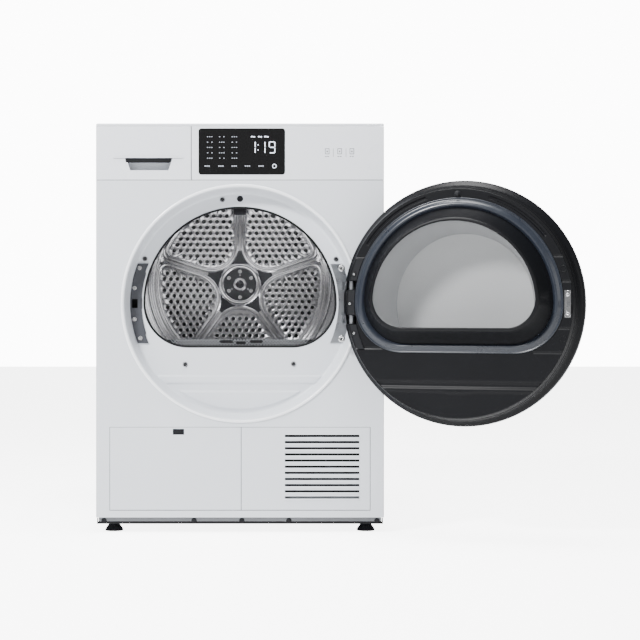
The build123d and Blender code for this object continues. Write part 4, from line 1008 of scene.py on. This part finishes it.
class DRYER_OT_details(bpy.types.Operator):
    """Screws, cups, strike, drawer lip, louvres, filter lattice, kick edge and feet"""
    bl_idname = "dryer.details"
    bl_label = "Small details"

    def execute(self, context):
        self.front()
        self.door()
        self.louvres()
        self.lattice()
        self.feet()
        return {"FINISHED"}

    def front(self):
        """Everything small on the recess floor, the kick strip, the hinge and the drawer."""
        f, front = FLOOR_Y / MM, FRONT / MM
        dark, rubber = finish("polypropylene_black"), finish("epdm_black")
        head = rounded([(0.01, f - 1.6), (1.2, f - 1.5), (1.6, f - 2.7), (3.4, f - 2.6), (4.6, f - 1.2),
                        (5.2, f + 0.2)], 0.6, 3)
        heads = [turned(head, x * MM, DOOR_Z + z * MM, 24) for x, z in RECESS_SCREWS]
        piece("recess_screw_heads", heads, dark, "cabinet", toward=FORWARD)
        bush = rounded([(0.01, f - 0.3), (2.4, f - 0.3), (3.2, f - 0.8), (5.2, f - 1.0), (6.2, f - 0.6),
                        (6.8, f + 0.3)], 0.5, 3)
        piece("plunger_bush", [turned(bush, 0, PIN_Z, 32)], dark, "cabinet", toward=FORWARD)
        self.kick(dark)
        mx, dx, dz = mouth_x(), 11.6 * MM, 10.8 * MM
        ring = np.array([(mx - dx, DOOR_Z - dz), (mx + dx, DOOR_Z - dz), (mx + dx, DOOR_Z + dz),
                         (mx - dx, DOOR_Z + dz), (mx - dx, DOOR_Z - dz)])
        rows = [np.insert(ring, 1, (f + d) * MM, axis=1) for d in (-0.1, 0.6, 19.0)]
        rows.append(np.broadcast_to([mx, (f + 19.0) * MM, DOOR_Z], (5, 3)))
        piece("latch_mouth", [np.stack(rows)], rubber, "cabinet", toward=FORWARD)
        near = float(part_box("hinge_bracket")[0][1]) / MM
        boss = rounded([(0.01, near + 0.6), (1.9, near + 0.5), (2.5, near - 0.7), (5.4, near - 0.9),
                        (6.6, near - 0.3), (7.0, near + 0.6)], 0.5, 3)
        drive = [(0.01, near + 0.1), (1.0, near + 0.1), (2.3, near - 0.1)]
        heights = [DOOR_Z + d * MM for d in (-72.5, 72.5)]
        piece("hinge_boss_rings", [turned(boss, HINGE_X, z, 32) for z in heights], finish("zinc_plate"),
              "cabinet", toward=FORWARD)
        piece("hinge_boss_drives", [turned(drive, HINGE_X, z, 20) for z in heights], rubber, "cabinet",
              toward=FORWARD)
        cap = rounded_box((0.2893, (front + 0.4) * MM, 0.8232), (0.2971, -0.2690, 0.8404), 0.8 * MM, 3)
        behind = rounded_box((-0.2971, -0.2935, 0.8232), (-0.2893, -0.2690, 0.8404), 0.8 * MM, 3)
        piece("corner_caps", [cap, behind], finish("powder_coat_white"), "cabinet")
        # Black pad behind the vent slots: painted shade of the space behind the grille
        shade_pad = rounded_box((0.0835, (front + 14) * MM, 0.0600), (0.2555, (front + 17) * MM, 0.2110), MM, 2)
        piece("vent_foam", [shade_pad], finish("filter_foam_black"), "cabinet")
        lip = plate(stadium(-190, 774.9, 144, 3.0, 1.4), front - 0.2, front - 2.1, 0.7)
        piece("drawer_lip", [lip], finish("polypropylene_grey"), "water_drawer")
        # Black strip in the top of the scoop under the lip: painted shadow cast by the lip
        grip_shadow = plate([(-237.4, 773.2), (-142.6, 773.2), (-144.0, 764.4), (-236.0, 764.4)], front + 14,
                     front - 0.25, 0.4)
        piece("drawer_grip", [grip_shadow], rubber, "water_drawer")
        self.seams(front)

    def kick(self, dark):
        """Screw heads along the kick strip, and a black edge under it and up both ends: painted shade along
        its foot and ends.
        """
        kick = float(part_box("kick_strip")[0][1]) / MM
        dot = [(0.01, kick - 2.9), (2.4, kick - 3.0), (4.6, kick - 2.7), (5.4, kick - 1.6), (5.5, kick + 0.1)]
        dots = [turned(dot, x * MM, 24.6 * MM, 20) for x in (-281, -95, 4, 101, 283)]
        piece("kick_screw_heads", dots, dark, "cabinet", toward=FORWARD)
        # Black strips along the bottom and both ends: painted shade at the kick strip's foot and sides
        y0, y1, low = (kick - 0.9) * MM, (kick - 0.02) * MM, 0.0176
        edge = [rounded_box((x0, y0, low), (x1, y1, top), 0.4 * MM, 3) for x0, x1, top in
                ((-0.2955, 0.2955, 0.0226), (-0.2955, -0.2928, 0.0302), (0.2928, 0.2955, 0.0302))]
        piece("kick_edge", edge, finish("epdm_black"), "cabinet")

    def seams(self, front):
        """Grey strips lying in the gaps as painted shade of the grooves: under the control band, between
        drawer and band, and round the flap and the vent panel."""
        drawer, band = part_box("drawer_front"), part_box("control_fascia")
        flap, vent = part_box("access_flap"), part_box("vent_grille")
        under = min(drawer[0][2], band[0][2]) / MM
        runs = [(-296.5, 296.5, under - 1.7, under + 0.1),
                (drawer[1][0] / MM - 0.1, band[0][0] / MM + 0.1, under, drawer[1][2] / MM - 1)]
        for low, high in (flap, vent):
            x0, z0, x1, z1 = (v / MM for v in (low[0], low[2], high[0], high[2]))
            runs += [(x0 - 0.9, x1 + 0.9, z1 - 0.1, z1 + 0.9), (x0 - 0.9, x1 + 0.9, z0 - 0.9, z0 + 0.1),
                     (x0 - 0.9, x0 + 0.1, z0, z1), (x1 - 0.1, x1 + 0.9, z0, z1)]
        # The grey strips are painted shade inside the panel gaps
        strips = [rounded_box((x0 * MM, (front + 0.35) * MM, z0 * MM), (x1 * MM, (front + 0.9) * MM, z1 * MM),
                              0.15 * MM, 2) for x0, x1, z0, z1 in runs if x1 - x0 > 0.4 and z1 - z0 > 0.4]
        piece("panel_seams", strips, finish("seam_foam_grey"), "cabinet")

    def door(self):
        """Cups and screws of the liner, the pin at the top and the strike plate."""
        f = FACE_Y / MM
        rubber = finish("epdm_black")
        cups, screws = [], []
        for x, z, r in ((213.4, 533, 5.0), (222.2, 473, 5.0), (213.4, 413, 5.0), (-210.5, 541.8, 6.2),
                        (-210.5, 404.2, 6.2)):
            y = f + (2.5 if x > 0 else 0.1)
            cup = rounded([(0.01, y - 0.9), (r - 1.4, y - 0.9), (r - 1.0, y + 0.6), (r, y + 0.9),
                           (r + 0.9, y - 0.3)], 0.5, 3)
            cups.append(opened(turned(cup, x * MM, z * MM, 40)))
            if x > 0:
                head = rounded([(0.01, y - 0.5), (0.9, y - 0.4), (1.2, y + 0.3), (2.2, y + 0.2),
                                (2.7, y - 0.9)], 0.3, 3)
                screws.append(opened(turned(head, x * MM, z * MM, 20)))
        piece("door_cups", cups, rubber, "door", toward=FORWARD)
        piece("door_screws", screws, finish("zinc_plate"), "door", toward=FORWARD)
        pin = rounded([(7.4, f), (7.0, f + 1.6), (5.0, f + 2.2), (4.4, f + 5.0), (3.2, f + 5.9),
                       (0.01, f + 6.1)], 1.0, 4)
        piece("door_pin", [opened(turned(pin, 0, PIN_Z, 40))], finish("polypropylene_black"), "door",
              toward=FORWARD)
        strike = plate(stadium(-219.4, 473, 12.6, 52.5, 6.2), f - 0.1, f + 1.5, 0.5)
        hole = rounded([(0.01, f + 1.6), (1.7, f + 1.6), (2.2, f + 2.4), (3.4, f + 2.4), (3.9, f + 1.3)],
                       0.4, 3)
        parts = [strike] + [turned(hole, -219.4 * MM, z * MM, 24) for z in (454.5, 491.5)]
        piece("strike_face", [opened(part) for part in parts], finish("chrome_plate"), "door")

    def louvres(self):
        """Pressed lip under each slot: a half-round profile that fades to nothing at both ends."""
        slots, top, pitch = 11, 199.3, 12.7
        u, v = np.linspace(-1, 1, 41)[:, None], np.linspace(0, math.pi, 9)
        fade = np.sqrt(np.clip(1 - np.clip((np.abs(u) - 0.93) / 0.07, 0, 1) ** 2, 0, 1))
        x = 169.6 + 80 * u + 0 * v
        y = FRONT / MM + 0.05 - 1.3 * fade * np.sin(v)
        z = top - 4.9 - 2.1 * np.cos(v) + 0 * u
        sheets = [np.stack([x, y, z - pitch * i], -1) * MM for i in range(slots)]
        piece("grille_lips", sheets, finish("powder_coat_white"), "cabinet", toward=FORWARD)

    def lattice(self):
        """Diamond lattice over the filter's front: two families of slanting bars, and three finger slots."""
        y = float(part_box("lint_filter_frame")[0][1]) / MM
        bars = []
        z0, z1 = 383.0, 397.8
        for lean in (-1, 1):
            for x in np.arange(-145, 145.1, 6.4):
                foot, head = x - lean * (z1 - z0) / 2, x + lean * (z1 - z0) / 2
                if max(abs(foot), abs(head)) > 150:
                    continue
                ring = [(foot - 0.6, z0), (foot + 0.6, z0), (head + 0.6, z1), (head - 0.6, z1)]
                points = [(px, y - d, pz) for d in (-0.2, 0.45) for px, pz in ring]
                points.append((x, y - 0.75, (z0 + z1) / 2))
                faces = [[0, 1, 5, 4], [1, 2, 6, 5], [2, 3, 7, 6], [3, 0, 4, 7], [3, 2, 1, 0],
                         [4, 5, 8], [5, 6, 8], [6, 7, 8], [7, 4, 8]]
                bars.append((np.array(points) * MM, faces))
        piece("filter_lattice", bars, finish("polypropylene_grey"), "lint_filter",
              merge=0.001 * MM)
        slots = [plate(stadium(x, z, wide, 6.0, 1.6), y + 0.2, y - 0.95, 0.4)
                 for x, z, wide in ((-28.0, 393.2, 27), (2.0, 390.6, 22), (34.0, 393.2, 27))]
        piece("filter_slots", slots, finish("epdm_black"), "lint_filter")

    def feet(self):
        """Levelling feet: a faceted cone on a round pad. Each row is a radius, a height and a ripple."""
        a = np.linspace(0, TURN, 73)
        rows = np.array([(0.01, 0.0, 0), (16.8, 0.0, 0), (18.4, 0.5, 0), (18.8, 1.6, 0), (18.6, 3.4, 0),
                         (17.9, 4.6, 0.4), (16.4, 7.4, 0.9), (13.9, 10.6, 0.9), (11.6, 13.4, 0.6),
                         (10.6, 15.2, 0.2), (9.4, 16.2, 0), (5.0, 16.4, 0), (5.0, 40.0, 0), (0.01, 43.0, 0)])
        r = rows[:, 0] - rows[:, 2] * (0.5 + 0.5 * np.cos(12 * a))[:, None]
        z = np.broadcast_to(rows[:, 1], r.shape)
        foot = np.stack([r * np.cos(a)[:, None], r * np.sin(a)[:, None], z], -1)
        for name, body in (("foot_front_left", "foot_fl"), ("foot_front_right", "foot_fr"),
                           ("foot_rear_left", "foot_rl"), ("foot_rear_right", "foot_rr")):
            grid = foot * MM + centre(name) * (1, 1, 0)
            piece(name + "_moulding", [grid], finish("polypropylene_black"), body, [name],
                  sharp=50)


CLASSES = (DryerSizes, DryerColours, DRYER_OT_stage, DRYER_OT_cabinet, DRYER_OT_recess, DRYER_OT_drum,
           DRYER_OT_door, DRYER_OT_display, DRYER_OT_details)
STEPS = ("stage", "cabinet", "recess", "drum", "door", "display", "details")


class DRYER_PT_panel(bpy.types.Panel):
    """Sidebar panel that lists the dryer's sizes, colours and steps"""
    bl_label = "Dryer"
    bl_idname = "DRYER_PT_panel"
    bl_space_type = "VIEW_3D"
    bl_region_type = "UI"
    bl_category = "Dryer"

    def draw(self, context):
        for group in (context.scene.dryer_sizes, context.scene.dryer_colours):
            for key in group.__annotations__:
                self.layout.prop(group, key)
        for step in STEPS:
            self.layout.operator("dryer." + step)


def register():
    """Adds the classes and hangs the two property groups on the scene."""
    for cls in CLASSES + (DRYER_PT_panel,):
        bpy.utils.register_class(cls)
    bpy.types.Scene.dryer_sizes = PointerProperty(type=DryerSizes)
    bpy.types.Scene.dryer_colours = PointerProperty(type=DryerColours)


def unregister():
    """Takes the property groups and the classes away again."""
    del bpy.types.Scene.dryer_sizes
    del bpy.types.Scene.dryer_colours
    for cls in reversed(CLASSES + (DRYER_PT_panel,)):
        bpy.utils.unregister_class(cls)


def main():
    """Runs every step in order."""
    register()
    for step in STEPS:
        getattr(bpy.ops.dryer, step)()


if __name__ == "__main__":
    main()
